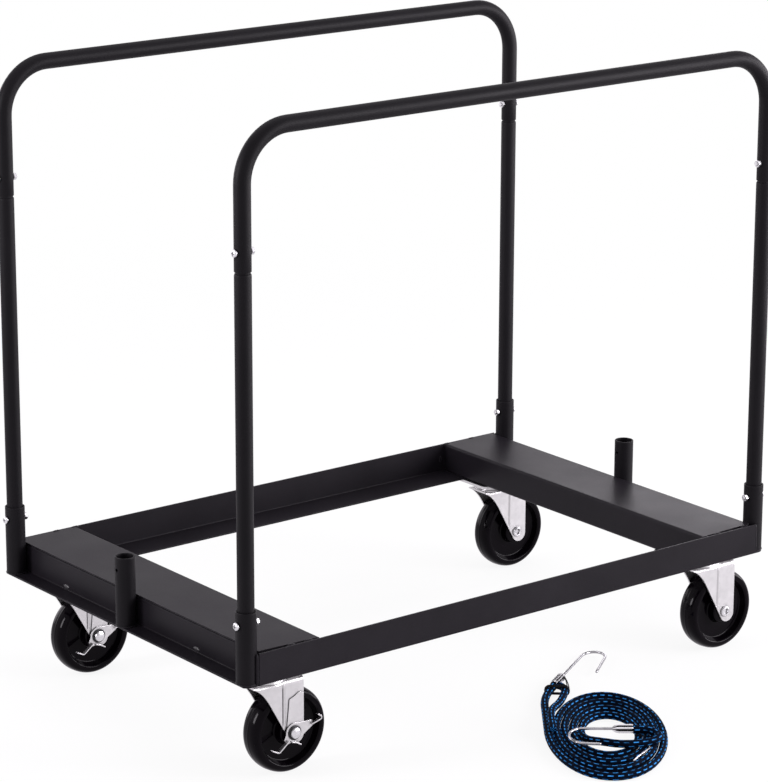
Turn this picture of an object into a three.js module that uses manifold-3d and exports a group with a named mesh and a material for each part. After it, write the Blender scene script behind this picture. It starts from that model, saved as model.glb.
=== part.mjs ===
import * as THREE from 'three';
import { mergeVertices } from 'three/addons/utils/BufferGeometryUtils.js';
import Module from 'manifold-3d';

// A rolling cart for sheet goods: a welded angle-iron frame on four swivel casters,
// two bolted hoops along the long sides and an elastic tie that lies beside it.
// Millimetres, +Z up. The origin is on the floor under the middle of the cart's box.
// +X runs along the side rails to the end without brakes, +Y points to the rear rail.

// Frame
const postSpacingX = 1000;
const postSpacingY = 620;
const groundClearance = 171;
const frameHeight = 50;
const railThickness = 2.5;
const railFlange = 60;
const railEndInset = 10;
const endRailThickness = 3;
const endFlangePastPost = 12.5;
const deckWidth = 107;
const deckThickness = 2.5;
const deckReturn = 22;
const seatGap = 0.3;

// Uprights
const tubeDiameter = 25;
const tubeWall = 1.5;
const socketWall = 2.5;
const socketClearance = 0.5;
const socketTop = 112;
const neckClearance = 0.4;
const neckWall = 1.5;
const neckLength = 58;
const shoulderHeight = 4;
const shoulderBulge = 0.7;
const jointHeight = 608;
const jointGap = 2;
const hoopHeight = 807;
const hoopBendRadius = 77;

// Screws through the tubes
const boltDiameter = 6;
const boltHoleClearance = 0.4;
const boltHeadDiameter = 12;
const boltHeadHeight = 4.5;
const headRimShare = 0.45;
const headCrownShare = 0.7;
const boltPastNut = 2;
const nutAcrossFlats = 10;
const nutThickness = 5;
const socketBoltDrop = 20;
const jointBoltRise = 28;

// Casters
const swivelInsetX = 66;
const swivelInsetY = 49;
const casterPlateX = 120;
const casterPlateY = 100;
const casterPlateThickness = 4;
const raceDiameter = 60;
const upperRaceHeight = 6;
const lowerRaceHeight = 10.2;
const raceGap = 0.5;
const kingPinDiameter = 14;
const kingPinClearance = 0.6;
const kingPinHeadDiameter = 22;
const kingPinHeadHeight = 4;
const forkThickness = 3;
const crownFront = 35;
const forkShoulderX = 19;
const forkShoulderDrop = 6;
const forkShoulderShare = 0.3;
const forkTipRadius = 14;
const forkTipBack = 5.5;
const forkTipDrop = 4.5;
const trail = 35.5;
const wheelDiameter = 133;
const wheelWidth = 36;
const wheelSideGap = 2;
const wheelHubDiameter = 40;
const wheelRimDepth = 15;
const wheelWebThickness = 13;
const wheelFillet = 3;
const rimFlankShare = 0.8;
const treadShoulderShare = 0.78;
const treadShoulderDrop = 2;
const treadFlatShare = 0.38;
const axleDiameter = 10;
const axleHeadDiameter = 17;
const axleHeadHeight = 5;
const bushWall = 2;
const turningGap = 0.3;

// Brake levers on the left pair
const leverThickness = 3;
const leverHubRadius = 15;
const leverTipWidth = 9;
const leverFlangeDepth = 8;
const leverFlangeThickness = 2;
const leverLongArm = 34;
const leverLongPedal = 18;
const leverShortArm = 20;
const leverShortPedal = 19;
const leverCurl = 13;
const leverLongAngle = 15;
const leverShortAngle = 218;
const leverLongCurl = 130;
const leverShortCurl = -65;

// Elastic tie, coiled flat on the floor, its inner end laid over the turns
const tieX = 66;
const tieY = -455;
const tieTurn = -38;
const cordDiameter = 12;
const coilGap = 0.5;
const coilLoops = 4;
const coilHalfWidth = 90;
const coilHalfLength = 179;
const coilLengthPitch = 28;
const overlayClimbShare = 0.5;
const overlayHalfWidth = 74;
const overlayNear = 42;
const overlayTurnRadius = 25;
const leadStraight = 112;
const leadBendRadius = 211;
const leadBendTurn = 21;
const ferruleDiameter = 15;
const hookWire = 4.5;
const outerFerrule = 44;
const outerShank = 98;
const outerBendAcross = 19;
const outerBendAlong = 26;
const outerBendTurn = 172;
const outerReturn = 66;
const innerFerrule = 30;
const innerShank = 46;
const innerBendAcross = 30;
const innerBendAlong = 22;
const innerBendTurn = 176;
const innerReturn = 26;

// Facets
const roundSides = 16;
const smallSides = 12;
const wheelSides = 24;
const bendSteps = 6;
const wireSides = 8;
const cordSides = 6;
const stepsPerLoop = 24;

// Places worked out from the sizes above
const tubeRadius = tubeDiameter / 2;
const socketBore = tubeRadius + socketClearance;
const socketRadius = socketBore + socketWall;
const halfX = postSpacingX / 2;
const halfY = postSpacingY / 2;
const frameBottom = groundClearance;
const frameTop = frameBottom + frameHeight;
const railInnerFace = halfY + socketRadius + seatGap;
const railOuterFace = railInnerFace + railThickness;
const flangeInnerEdge = railOuterFace - railFlange;
const webOuterFace = halfX - socketRadius - seatGap;
const webInnerFace = webOuterFace - endRailThickness;
const deckInnerEdge = webOuterFace - deckWidth;
const insideWidth = 2 * (railInnerFace - seatGap);
const endFlangeTop = frameBottom + endRailThickness;
const socketBoltZ = frameBottom + socketTop - socketBoltDrop;
const jointZ = frameBottom + jointHeight;
const jointBoltZ = jointZ + jointBoltRise;
const hoopZ = frameBottom + hoopHeight;
const plateTop = frameBottom - seatGap;
const plateBottom = plateTop - casterPlateThickness;
const upperRaceBottom = plateBottom - upperRaceHeight;
const lowerRaceTop = upperRaceBottom - raceGap;
const forkTop = lowerRaceTop - lowerRaceHeight;
const crownBottom = forkTop - forkThickness;
const wheelRadius = wheelDiameter / 2;
const forkInnerHalf = wheelWidth / 2 + wheelSideGap;
const forkOuterHalf = forkInnerHalf + forkThickness;
const forkBack = trail + forkTipBack + forkTipRadius;
const axleRadius = axleDiameter / 2;
const bushRadius = axleRadius + turningGap + bushWall;
const boltHoleRadius = boltDiameter / 2 + boltHoleClearance;
const swivelX = halfX - swivelInsetX;
const swivelY = halfY - swivelInsetY;
const headReach = halfX + socketRadius + seatGap + boltHeadHeight;
const rightReach = Math.max(headReach, swivelX + trail + wheelRadius);
const middleX = (rightReach - headReach) / 2;

// Finishes
const finishes = {
  coat: { color: 0x2f2e32, roughness: 0.5, metalness: 0.25 },
  tube: { color: 0x29282c, roughness: 0.45, metalness: 0.25 },
  zinc: { color: 0xdfe0e4, roughness: 0.28, metalness: 0.9 },
  wheel: { color: 0x0e0e10, roughness: 0.18, metalness: 0 },
  steel: { color: 0xb9babf, roughness: 0.3, metalness: 0.95 },
  cord: { color: 0x10203f, roughness: 0.85, metalness: 0 },
};

const wasm = await Module();
wasm.setup();

// Merged vertices, no collapsed triangles, faces pointing out
function closed(geometry) {
  const bare = geometry.clone();
  bare.deleteAttribute('normal');
  bare.deleteAttribute('uv');
  const merged = mergeVertices(bare, 1e-4);
  const place = merged.attributes.position;
  const corners = [0, 1, 2].map(() => new THREE.Vector3());
  const kept = [];
  let volume = 0;
  for (let i = 0; i < merged.index.count; i += 3) {
    const face = [0, 1, 2].map((k) => merged.index.getX(i + k));
    if (new Set(face).size < 3) continue;
    kept.push(...face);
    corners.forEach((corner, k) => corner.fromBufferAttribute(place, face[k]));
    volume += corners[0].dot(corners[1].cross(corners[2]));
  }
  if (volume < 0) kept.reverse();
  merged.setIndex(kept);
  merged.computeVertexNormals();
  return merged;
}

function solidOf(geometry) {
  const mesh = closed(geometry);
  return new wasm.Manifold(new wasm.Mesh({
    numProp: 3,
    vertProperties: new Float32Array(mesh.attributes.position.array),
    triVerts: new Uint32Array(mesh.index.array),
  }));
}

function geometryOf(solid) {
  const mesh = solid.getMesh();
  const geometry = new THREE.BufferGeometry();
  geometry.setAttribute('position', new THREE.BufferAttribute(mesh.vertProperties, 3));
  geometry.setIndex(new THREE.BufferAttribute(mesh.triVerts, 1));
  geometry.computeVertexNormals();
  return geometry;
}

function join(...geometries) {
  return geometryOf(geometries.map(solidOf).reduce((whole, next) => whole.add(next)));
}

function cut(geometry, ...tools) {
  return geometryOf(tools.map(solidOf).reduce((whole, tool) => whole.subtract(tool), solidOf(geometry)));
}

function block(x0, x1, y0, y1, z0, z1) {
  const geometry = new THREE.BoxGeometry(x1 - x0, y1 - y0, z1 - z0);
  return geometry.translate((x0 + x1) / 2, (y0 + y1) / 2, (z0 + z1) / 2);
}

// A turned piece about Z from [radius, height] points
function turned(points, sides) {
  const profile = points.map(([radius, height]) => new THREE.Vector2(radius, height));
  return closed(new THREE.LatheGeometry(profile, sides).rotateX(Math.PI / 2));
}

// A turned tube about Z: its outline closes on itself
function pipe(inner, outer, bottom, top, sides) {
  return turned([[inner, bottom], [outer, bottom], [outer, top], [inner, top], [inner, bottom]], sides);
}

function rod(radius, bottom, top, sides) {
  return turned([[0, bottom], [radius, bottom], [radius, top], [0, top]], sides);
}

function outline(points) {
  return new THREE.Shape(points.map(([x, y]) => new THREE.Vector2(x, y)));
}

// An outline drawn in X and Z, as thick as y1 - y0
function upright(shape, y0, y1, curveSegments = bendSteps) {
  const geometry = new THREE.ExtrudeGeometry(shape, { depth: y1 - y0, bevelEnabled: false, curveSegments });
  return geometry.rotateX(Math.PI / 2).translate(0, y1, 0);
}

// A path with a section at each of its own stations
class StationPath extends THREE.Curve {
  constructor(stations) {
    super();
    this.stations = stations;
  }

  getPoint(u, target = new THREE.Vector3()) {
    return target.copy(this.stations[Math.round(u * (this.stations.length - 1))].point);
  }

  getTangent(u, target = new THREE.Vector3()) {
    return target.copy(this.stations[Math.round(u * (this.stations.length - 1))].tangent);
  }

  getPointAt(u, target) {
    return this.getPoint(u, target);
  }

  getTangentAt(u, target) {
    return this.getTangent(u, target);
  }
}

function swept(shape, stations) {
  const extrudePath = new StationPath(stations);
  const steps = stations.length - 1;
  return closed(new THREE.ExtrudeGeometry(shape, { extrudePath, steps, curveSegments: roundSides / 2 }));
}

function polygon(radius, sides) {
  const turn = (2 * Math.PI) / sides;
  const corner = (i) => [radius * Math.cos(i * turn), radius * Math.sin(i * turn)];
  return outline(Array.from({ length: sides }, (_, i) => corner(i)));
}

function piece(name, geometry, finish) {
  const mesh = new THREE.Mesh(geometry, new THREE.MeshStandardMaterial(finishes[finish]));
  mesh.name = name;
  return mesh;
}

function placed(pieces, x, y, turn = 0) {
  const group = new THREE.Group();
  group.position.set(x, y, 0);
  group.rotation.z = turn;
  group.add(...pieces);
  return group;
}

// Angle iron along X at the front, its flange coped to clear the end rails
function sideRail() {
  const railEnd = halfX - railEndInset;
  const flangeEnd = webInnerFace - seatGap;
  const leg = block(-railEnd, railEnd, -railOuterFace, -railInnerFace, frameBottom, frameTop);
  const flangeTop = frameBottom + railThickness;
  const flange = block(-flangeEnd, flangeEnd, -railOuterFace, -flangeInnerEdge, frameBottom, flangeTop);
  return join(leg, flange);
}

// Angle iron along Y at the right end, its flange turned out under the sockets
function endRail() {
  const half = insideWidth / 2;
  const webTop = frameTop - deckThickness - seatGap;
  const web = block(webInnerFace, webOuterFace, -half, half, frameBottom, webTop);
  const flange = block(webInnerFace, halfX + endFlangePastPost, -half, half, frameBottom, endFlangeTop);
  return join(web, flange);
}

// Folded sheet at the right end: top, inner wall and bottom return, notched over the rail flanges
function deckPlate() {
  const half = insideWidth / 2;
  const sheetBottom = frameBottom + deckThickness;
  const fold = outline([
    [webOuterFace, frameTop],
    [deckInnerEdge, frameTop],
    [deckInnerEdge, frameBottom],
    [deckInnerEdge + deckReturn, frameBottom],
    [deckInnerEdge + deckReturn, sheetBottom],
    [deckInnerEdge + deckThickness, sheetBottom],
    [deckInnerEdge + deckThickness, frameTop - deckThickness],
    [webOuterFace, frameTop - deckThickness],
  ]);
  const notchTop = frameBottom + railThickness + seatGap;
  const notchInner = flangeInnerEdge - seatGap;
  const notchEnd = deckInnerEdge + deckReturn + deckThickness;
  const notch = (y0, y1) => block(
    deckInnerEdge - deckThickness, notchEnd, y0, y1, frameBottom - deckThickness, notchTop,
  );
  return cut(
    upright(fold, -half, half),
    notch(-half - deckThickness, -notchInner),
    notch(notchInner, half + deckThickness),
  );
}

// A hole through a tube along X
function crossHole(reach, z) {
  return rod(boltHoleRadius, -2 * reach, 2 * reach, smallSides).rotateY(Math.PI / 2).translate(0, 0, z);
}

function socket() {
  const bottom = endFlangeTop + seatGap;
  const tube = pipe(socketBore, socketRadius, bottom, frameBottom + socketTop, roundSides);
  return cut(tube, crossHole(socketRadius, socketBoltZ));
}

// Straight tube with a drawn-in neck that enters the hoop
function leg() {
  const neckOuter = tubeRadius - tubeWall - neckClearance;
  const neckInner = neckOuter - neckWall;
  const bottom = endFlangeTop + 2 * seatGap;
  const shoulder = jointZ - jointGap - shoulderHeight;
  const bulge = THREE.MathUtils.lerp(neckOuter, tubeRadius, shoulderBulge);
  const top = jointZ + neckLength;
  const tube = turned([
    [tubeRadius - tubeWall, bottom],
    [tubeRadius, bottom],
    [tubeRadius, shoulder],
    [bulge, shoulder + shoulderHeight / 2],
    [neckOuter, shoulder + shoulderHeight],
    [neckOuter, top],
    [neckInner, top],
    [neckInner, shoulder + shoulderHeight],
    [tubeRadius - tubeWall, shoulder],
    [tubeRadius - tubeWall, bottom],
  ], roundSides);
  return cut(tube, crossHole(tubeRadius, socketBoltZ), crossHole(tubeRadius, jointBoltZ));
}

// One tube bent twice, standing over two legs
function hoop() {
  const section = new THREE.Shape().absarc(0, 0, tubeRadius, 0, 2 * Math.PI);
  section.holes.push(new THREE.Path().absarc(0, 0, tubeRadius - tubeWall, 0, 2 * Math.PI, true));
  const bendX = halfX - hoopBendRadius;
  const bendZ = hoopZ - hoopBendRadius;
  const station = (x, z, angle) => ({
    point: new THREE.Vector3(x, 0, z),
    tangent: new THREE.Vector3(Math.sin(angle), 0, Math.cos(angle)),
  });
  const stations = [station(-halfX, jointZ, 0)];
  for (let bend = 0; bend < 2; bend += 1) {
    for (let i = 0; i <= bendSteps; i += 1) {
      const angle = ((bend + i / bendSteps) * Math.PI) / 2;
      const centre = bend === 0 ? -bendX : bendX;
      const x = centre - hoopBendRadius * Math.cos(angle);
      stations.push(station(x, bendZ + hoopBendRadius * Math.sin(angle), angle));
    }
  }
  stations.push(station(halfX, jointZ, Math.PI));
  const left = crossHole(tubeRadius, jointBoltZ).translate(-halfX, 0, 0);
  const right = crossHole(tubeRadius, jointBoltZ).translate(halfX, 0, 0);
  return cut(swept(section, stations), left, right);
}

// Round-headed screw along X, its head on the +X side of a tube
function screw(radius, z) {
  const seat = radius + seatGap;
  const shank = boltDiameter / 2;
  const head = boltHeadDiameter / 2;
  const end = -seat - seatGap - nutThickness - boltPastNut;
  const profile = [
    [0, end],
    [shank, end],
    [shank, seat],
    [head, seat],
    [head, seat + boltHeadHeight * headRimShare],
    [head * headCrownShare, seat + boltHeadHeight],
    [0, seat + boltHeadHeight],
  ];
  return turned(profile, smallSides).rotateY(Math.PI / 2).translate(0, 0, z);
}

function hexNut(radius, z) {
  const seat = radius + seatGap;
  const flats = polygon(nutAcrossFlats / Math.sqrt(3), 6);
  const hole = new THREE.Path().absarc(0, 0, boltHoleRadius, 0, 2 * Math.PI, true);
  flats.holes.push(hole);
  const body = new THREE.ExtrudeGeometry(flats, {
    depth: nutThickness, bevelEnabled: false, curveSegments: smallSides / 2,
  });
  return closed(body.rotateY(-Math.PI / 2).translate(-seat, 0, z));
}

// Mounting plate with the upper race and a headed king pin below it
function casterPlate() {
  const plate = block(
    -casterPlateX / 2, casterPlateX / 2, -casterPlateY / 2, casterPlateY / 2, plateBottom, plateTop,
  );
  const headTop = crownBottom - raceGap;
  const pin = kingPinDiameter / 2;
  const swivel = turned([
    [0, headTop - kingPinHeadHeight],
    [kingPinHeadDiameter / 2, headTop - kingPinHeadHeight],
    [kingPinHeadDiameter / 2, headTop],
    [pin, headTop],
    [pin, upperRaceBottom],
    [raceDiameter / 2, upperRaceBottom],
    [raceDiameter / 2, plateBottom + casterPlateThickness / 2],
    [0, plateBottom + casterPlateThickness / 2],
  ], roundSides);
  return join(plate, swivel);
}

// Stamped fork: crown, lower race and two legs that lean back to the axle
function fork() {
  const tip = new THREE.Vector2(trail + forkTipBack, wheelRadius - forkTipDrop);
  const shoulder = new THREE.Vector2(-forkShoulderX, crownBottom - forkShoulderDrop);
  const reach = shoulder.clone().sub(tip);
  const tangent = reach.angle() + Math.acos(forkTipRadius / reach.length());
  const meet = new THREE.Vector2(Math.cos(tangent), Math.sin(tangent)).multiplyScalar(forkTipRadius).add(tip);
  const flank = shoulder.clone().lerp(meet, forkShoulderShare);
  const side = new THREE.Shape();
  side.moveTo(forkBack, forkTop);
  side.lineTo(-crownFront, forkTop);
  side.lineTo(-crownFront, crownBottom);
  side.quadraticCurveTo(shoulder.x, shoulder.y, flank.x, flank.y);
  side.absarc(tip.x, tip.y, forkTipRadius, tangent, 2 * Math.PI, false);
  side.closePath();
  const near = upright(side, -forkOuterHalf, -forkInnerHalf);
  const far = upright(side, forkInnerHalf, forkOuterHalf);
  const crown = block(-crownFront, forkBack, -forkOuterHalf, forkOuterHalf, crownBottom, forkTop);
  const race = rod(raceDiameter / 2, crownBottom, lowerRaceTop, roundSides);
  const pinHole = rod(kingPinDiameter / 2 + kingPinClearance, 0, frameTop, roundSides);
  const holeRadius = axleRadius + turningGap;
  const axleHole = rod(holeRadius, -2 * forkOuterHalf, 2 * forkOuterHalf, smallSides);
  axleHole.rotateX(Math.PI / 2).translate(trail, 0, wheelRadius);
  return cut(join(crown, near, far, race), pinHole, axleHole);
}

// Solid wheel with a crowned tread, a dished web and a plain bore, turned about its own axle
function wheel() {
  const half = wheelWidth / 2;
  const rimInner = wheelRadius - wheelRimDepth;
  const hub = wheelHubDiameter / 2;
  const hubHalf = forkInnerHalf - turningGap;
  const web = wheelWebThickness / 2;
  const facet = Math.PI / wheelSides;
  const tread = wheelRadius / Math.cos(facet);
  const side = [
    [bushRadius + turningGap, hubHalf],
    [hub, hubHalf],
    [hub + wheelFillet, web],
    [rimInner - wheelFillet, web],
    [rimInner, half * rimFlankShare],
    [rimInner + wheelFillet, half],
    [tread - treadShoulderDrop, half * treadShoulderShare],
    [tread, half * treadFlatShare],
  ];
  const other = side.map(([radius, height]) => [radius, -height]).reverse();
  return turned([...side, ...other, side[0]].reverse(), wheelSides).rotateZ(facet);
}

function alongAxle(geometry) {
  return geometry.rotateX(Math.PI / 2).translate(trail, 0, wheelRadius);
}

// Axle with a formed head at both ends; under the near head sits what is stacked on the fork
function axlePin(stack) {
  const shank = axleRadius;
  const head = axleHeadDiameter / 2;
  const near = forkOuterHalf + seatGap + stack;
  const far = -forkOuterHalf - seatGap;
  return alongAxle(turned([
    [0, far - axleHeadHeight],
    [head * headCrownShare, far - axleHeadHeight],
    [head, far - axleHeadHeight * headRimShare],
    [head, far],
    [shank, far],
    [shank, near],
    [head, near],
    [head, near + axleHeadHeight * headRimShare],
    [head * headCrownShare, near + axleHeadHeight],
    [0, near + axleHeadHeight],
  ], smallSides));
}

function bush() {
  const half = forkInnerHalf - turningGap;
  return alongAxle(pipe(axleRadius + turningGap, bushRadius, -half, half, smallSides));
}

// A bent strip of sheet, drawn edge-on along a line of points
function strip(points, thickness) {
  const line = points.map(([x, y]) => new THREE.Vector2(x, y));
  const normals = line.slice(1).map((point, i) => {
    const run = point.clone().sub(line[i]).normalize();
    return new THREE.Vector2(-run.y, run.x);
  });
  const offset = (i, side) => {
    const before = normals[Math.max(i - 1, 0)];
    const after = normals[Math.min(i, normals.length - 1)];
    const mean = before.clone().add(after).normalize();
    const scale = (side * thickness) / 2 / mean.dot(after);
    return line[i].clone().addScaledVector(mean, scale);
  };
  const over = line.map((_, i) => offset(i, 1));
  const under = line.map((_, i) => offset(i, -1)).reverse();
  return new THREE.Shape([...over, ...under]);
}

// Rocker on the axle head's side of the fork, with a folded pedal at each end
function brakeLever() {
  const inner = -forkOuterHalf - seatGap;
  const outer = inner - leverThickness;
  const ray = (degrees, length) => {
    const angle = THREE.MathUtils.degToRad(degrees);
    return new THREE.Vector2(length * Math.cos(angle), length * Math.sin(angle));
  };
  const arm = (angle, length, pedal, curlTurn) => {
    const tip = ray(angle, length);
    const root = ray(angle, length - 2 * leverFlangeThickness);
    const end = ray(angle, length + pedal);
    const curl = end.clone().add(ray(angle + curlTurn, leverCurl));
    const corner = (from, side, width) => ray(angle + side * 90, width / 2).add(from);
    const hub = new THREE.Vector2();
    const bar = new THREE.Shape([
      corner(hub, 1, 2 * leverHubRadius),
      corner(hub, -1, 2 * leverHubRadius),
      corner(tip, -1, leverTipWidth),
      corner(tip, 1, leverTipWidth),
    ]);
    const pedalLine = strip([[root.x, root.y], [end.x, end.y], [curl.x, curl.y]], leverFlangeThickness);
    return [upright(bar, outer, inner), upright(pedalLine, inner - leverFlangeDepth, inner)];
  };
  const hubShape = new THREE.Shape().absarc(0, 0, leverHubRadius, 0, 2 * Math.PI);
  const body = join(
    upright(hubShape, outer, inner),
    ...arm(leverLongAngle, leverLongArm, leverLongPedal, leverLongCurl),
    ...arm(leverShortAngle, leverShortArm, leverShortPedal, leverShortCurl),
  );
  const hole = rod(axleRadius + turningGap, -2 * forkOuterHalf, 2 * forkOuterHalf, smallSides);
  return cut(body, hole.rotateX(Math.PI / 2)).translate(trail, 0, wheelRadius);
}

// Centre line of the tie: a lead that bends off to the outer hook, a flat oval spiral inward,
// half a turn that climbs onto the turns, and a quarter bend to the inner hook
function coilStations() {
  const widthPitch = cordDiameter + coilGap;
  const low = cordDiameter / 2;
  const high = low + widthPitch;
  const smooth = (t) => THREE.MathUtils.smoothstep(t, 0, 1);
  const points = [];
  const add = (x, y, z) => points.push(new THREE.Vector3(x, y, z));

  const bend = THREE.MathUtils.degToRad(leadBendTurn);
  const leadX = (turn) => leadBendRadius * (1 - Math.cos(turn)) - coilHalfWidth;
  const leadY = (turn) => leadBendRadius * Math.sin(turn) + leadStraight;
  add(leadX(bend) + cordDiameter * Math.sin(bend), leadY(bend) + cordDiameter * Math.cos(bend), low);
  for (let i = bendSteps; i >= 0; i -= 1) {
    const turn = (bend * i) / bendSteps;
    add(leadX(turn), leadY(turn), low);
  }

  const flatSteps = coilLoops * stepsPerLoop;
  const overlaySteps = stepsPerLoop / 2;
  const widenStart = overlayClimbShare / 2;
  for (let i = 0; i <= flatSteps + overlaySteps; i += 1) {
    const loops = i / stepsPerLoop;
    const climb = Math.max(0, (i - flatSteps) / overlaySteps);
    const angle = Math.PI + loops * 2 * Math.PI;
    const widen = smooth((climb - widenStart) / (1 - widenStart));
    const spiral = coilHalfWidth - widthPitch * loops;
    const halfWidth = THREE.MathUtils.lerp(spiral, overlayHalfWidth, widen);
    const halfLength = coilHalfLength - coilLengthPitch * loops;
    const z = THREE.MathUtils.lerp(low, high, smooth(climb / overlayClimbShare));
    add(halfWidth * Math.cos(angle), halfLength * Math.sin(angle) - overlayNear * widen, z);
  }

  const turnX = overlayHalfWidth - overlayTurnRadius;
  const turnSteps = stepsPerLoop / 4;
  for (let i = 1; i <= turnSteps; i += 1) {
    const angle = ((i / turnSteps) * Math.PI) / 2;
    add(turnX + overlayTurnRadius * Math.cos(angle), overlayTurnRadius * Math.sin(angle) - overlayNear, high);
  }
  add(turnX - cordDiameter, overlayTurnRadius - overlayNear, high);

  const last = points.length - 1;
  return points.map((point, i) => {
    const from = i < 2 ? 0 : Math.min(i - 1, last - 1);
    const to = i > last - 2 ? last : Math.max(i + 1, 1);
    return { point, tangent: points[to].clone().sub(points[from]).normalize() };
  });
}

// Least clear distance between turns, on points along the centre line
function leastCoilGap(stations) {
  const spacing = cordDiameter / 4;
  const sameTurn = 4 * cordDiameter;
  const points = [];
  stations.slice(1).forEach(({ point }, i) => {
    const from = stations[i].point;
    const count = Math.ceil(from.distanceTo(point) / spacing);
    for (let k = 0; k < count; k += 1) points.push(from.clone().lerp(point, k / count));
  });
  const along = [0];
  points.slice(1).forEach((point, i) => along.push(along[i] + point.distanceTo(points[i])));
  let least = Infinity;
  points.forEach((point, i) => {
    for (let k = i + 1; k < points.length; k += 1) {
      if (along[k] - along[i] < sameTurn) continue;
      least = Math.min(least, point.distanceTo(points[k]) - cordDiameter);
    }
  });
  return least;
}

// Ferrule along +Y from the cord's end, then a wire shank and an open hook
const tieHooks = [
  {
    name: 'outer',
    side: 1,
    floor: 0,
    ferrule: outerFerrule,
    shank: outerShank,
    across: outerBendAcross,
    along: outerBendAlong,
    turn: outerBendTurn,
    back: outerReturn,
  },
  {
    name: 'inner',
    side: -1,
    floor: cordDiameter + coilGap,
    ferrule: innerFerrule,
    shank: innerShank,
    across: innerBendAcross,
    along: innerBendAlong,
    turn: innerBendTurn,
    back: innerReturn,
  },
];

function tieHook({ side, ferrule, shank, across, along, turn, back }) {
  const height = ferruleDiameter / 2;
  const sleeve = rod(height, seatGap, seatGap + ferrule, smallSides);
  sleeve.rotateX(-Math.PI / 2).translate(0, 0, height);
  const bendY = ferrule + shank;
  const station = (x, y, angle) => ({
    point: new THREE.Vector3(side * x, y, height),
    tangent: new THREE.Vector3(side * across * Math.sin(angle), along * Math.cos(angle), 0).normalize(),
  });
  const stations = [station(0, ferrule - hookWire, 0)];
  const count = 2 * bendSteps;
  for (let i = 0; i <= count; i += 1) {
    const angle = THREE.MathUtils.degToRad((turn * i) / count);
    stations.push(station(across * (1 - Math.cos(angle)), bendY + along * Math.sin(angle), angle));
  }
  const { point, tangent } = stations[stations.length - 1];
  stations.push({ point: point.clone().addScaledVector(tangent, back), tangent });
  return join(sleeve, swept(polygon(hookWire / 2, wireSides), stations));
}

// Corners, with heads and brakes turned to the nearer end
const corners = [
  { name: 'front_left', x: -1, y: -1 },
  { name: 'front_right', x: 1, y: -1 },
  { name: 'rear_left', x: -1, y: 1 },
  { name: 'rear_right', x: 1, y: 1 },
];

function uprights(corner) {
  const pieces = [
    piece(`socket_${corner.name}`, socket(), 'coat'),
    piece(`leg_${corner.name}`, leg(), 'tube'),
    piece(`socket_bolt_${corner.name}`, screw(socketRadius, socketBoltZ), 'zinc'),
    piece(`socket_nut_${corner.name}`, hexNut(socketRadius, socketBoltZ), 'zinc'),
    piece(`joint_bolt_${corner.name}`, screw(tubeRadius, jointBoltZ), 'zinc'),
    piece(`joint_nut_${corner.name}`, hexNut(tubeRadius, jointBoltZ), 'zinc'),
  ];
  return placed(pieces, corner.x * halfX, corner.y * halfY, corner.x < 0 ? Math.PI : 0);
}

function caster(corner) {
  const braked = corner.x < 0;
  const stack = braked ? leverThickness + seatGap : 0;
  const pieces = [
    piece(`caster_plate_${corner.name}`, casterPlate(), 'zinc'),
    piece(`caster_fork_${corner.name}`, fork(), 'zinc'),
    piece(`caster_axle_${corner.name}`, axlePin(stack), 'zinc'),
    piece(`caster_bush_${corner.name}`, bush(), 'steel'),
    piece(`caster_wheel_${corner.name}`, alongAxle(wheel()), 'wheel'),
  ];
  if (braked) pieces.push(piece(`brake_lever_${corner.name}`, brakeLever(), 'zinc'));
  return placed(pieces, corner.x * swivelX, corner.y * swivelY);
}

function tie() {
  const stations = coilStations();
  console.log(`tie cord least gap between turns ${leastCoilGap(stations).toFixed(2)} mm`);
  const cord = piece('tie_cord', swept(polygon(cordDiameter / 2, cordSides), stations), 'cord');
  const ends = [stations[0], stations[stations.length - 1]];
  const hooks = tieHooks.map((sizes, i) => {
    const hook = piece(`tie_hook_${sizes.name}`, tieHook(sizes), 'steel');
    const { point, tangent } = ends[i];
    const away = tangent.clone().multiplyScalar(-sizes.side);
    hook.position.set(point.x, point.y, sizes.floor);
    hook.rotation.z = Math.atan2(-away.x, away.y);
    return hook;
  });
  return placed([cord, ...hooks], tieX, tieY, THREE.MathUtils.degToRad(tieTurn));
}

const hoops = ['front', 'rear'].map((name, i) => {
  const mesh = piece(`hoop_${name}`, hoop(), 'tube');
  mesh.position.y = i === 0 ? -halfY : halfY;
  return mesh;
});

const pieces = [
  piece('side_rail_front', sideRail(), 'coat'),
  placed([piece('side_rail_rear', sideRail(), 'coat')], 0, 0, Math.PI),
  piece('end_rail_right', endRail(), 'coat'),
  placed([piece('end_rail_left', endRail(), 'coat')], 0, 0, Math.PI),
  piece('deck_plate_right', deckPlate(), 'coat'),
  placed([piece('deck_plate_left', deckPlate(), 'coat')], 0, 0, Math.PI),
  placed([piece('stub_socket_right', socket(), 'coat')], halfX, 0),
  placed([piece('stub_socket_left', socket(), 'coat')], -halfX, 0, Math.PI),
  ...hoops,
  ...corners.map(uprights),
  ...corners.map(caster),
  tie(),
];

const cart = new THREE.Group();
cart.add(placed(pieces, -middleX, 0));

export default cart;
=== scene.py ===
import math

import bmesh
import bpy
from mathutils import Matrix, Vector


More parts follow.
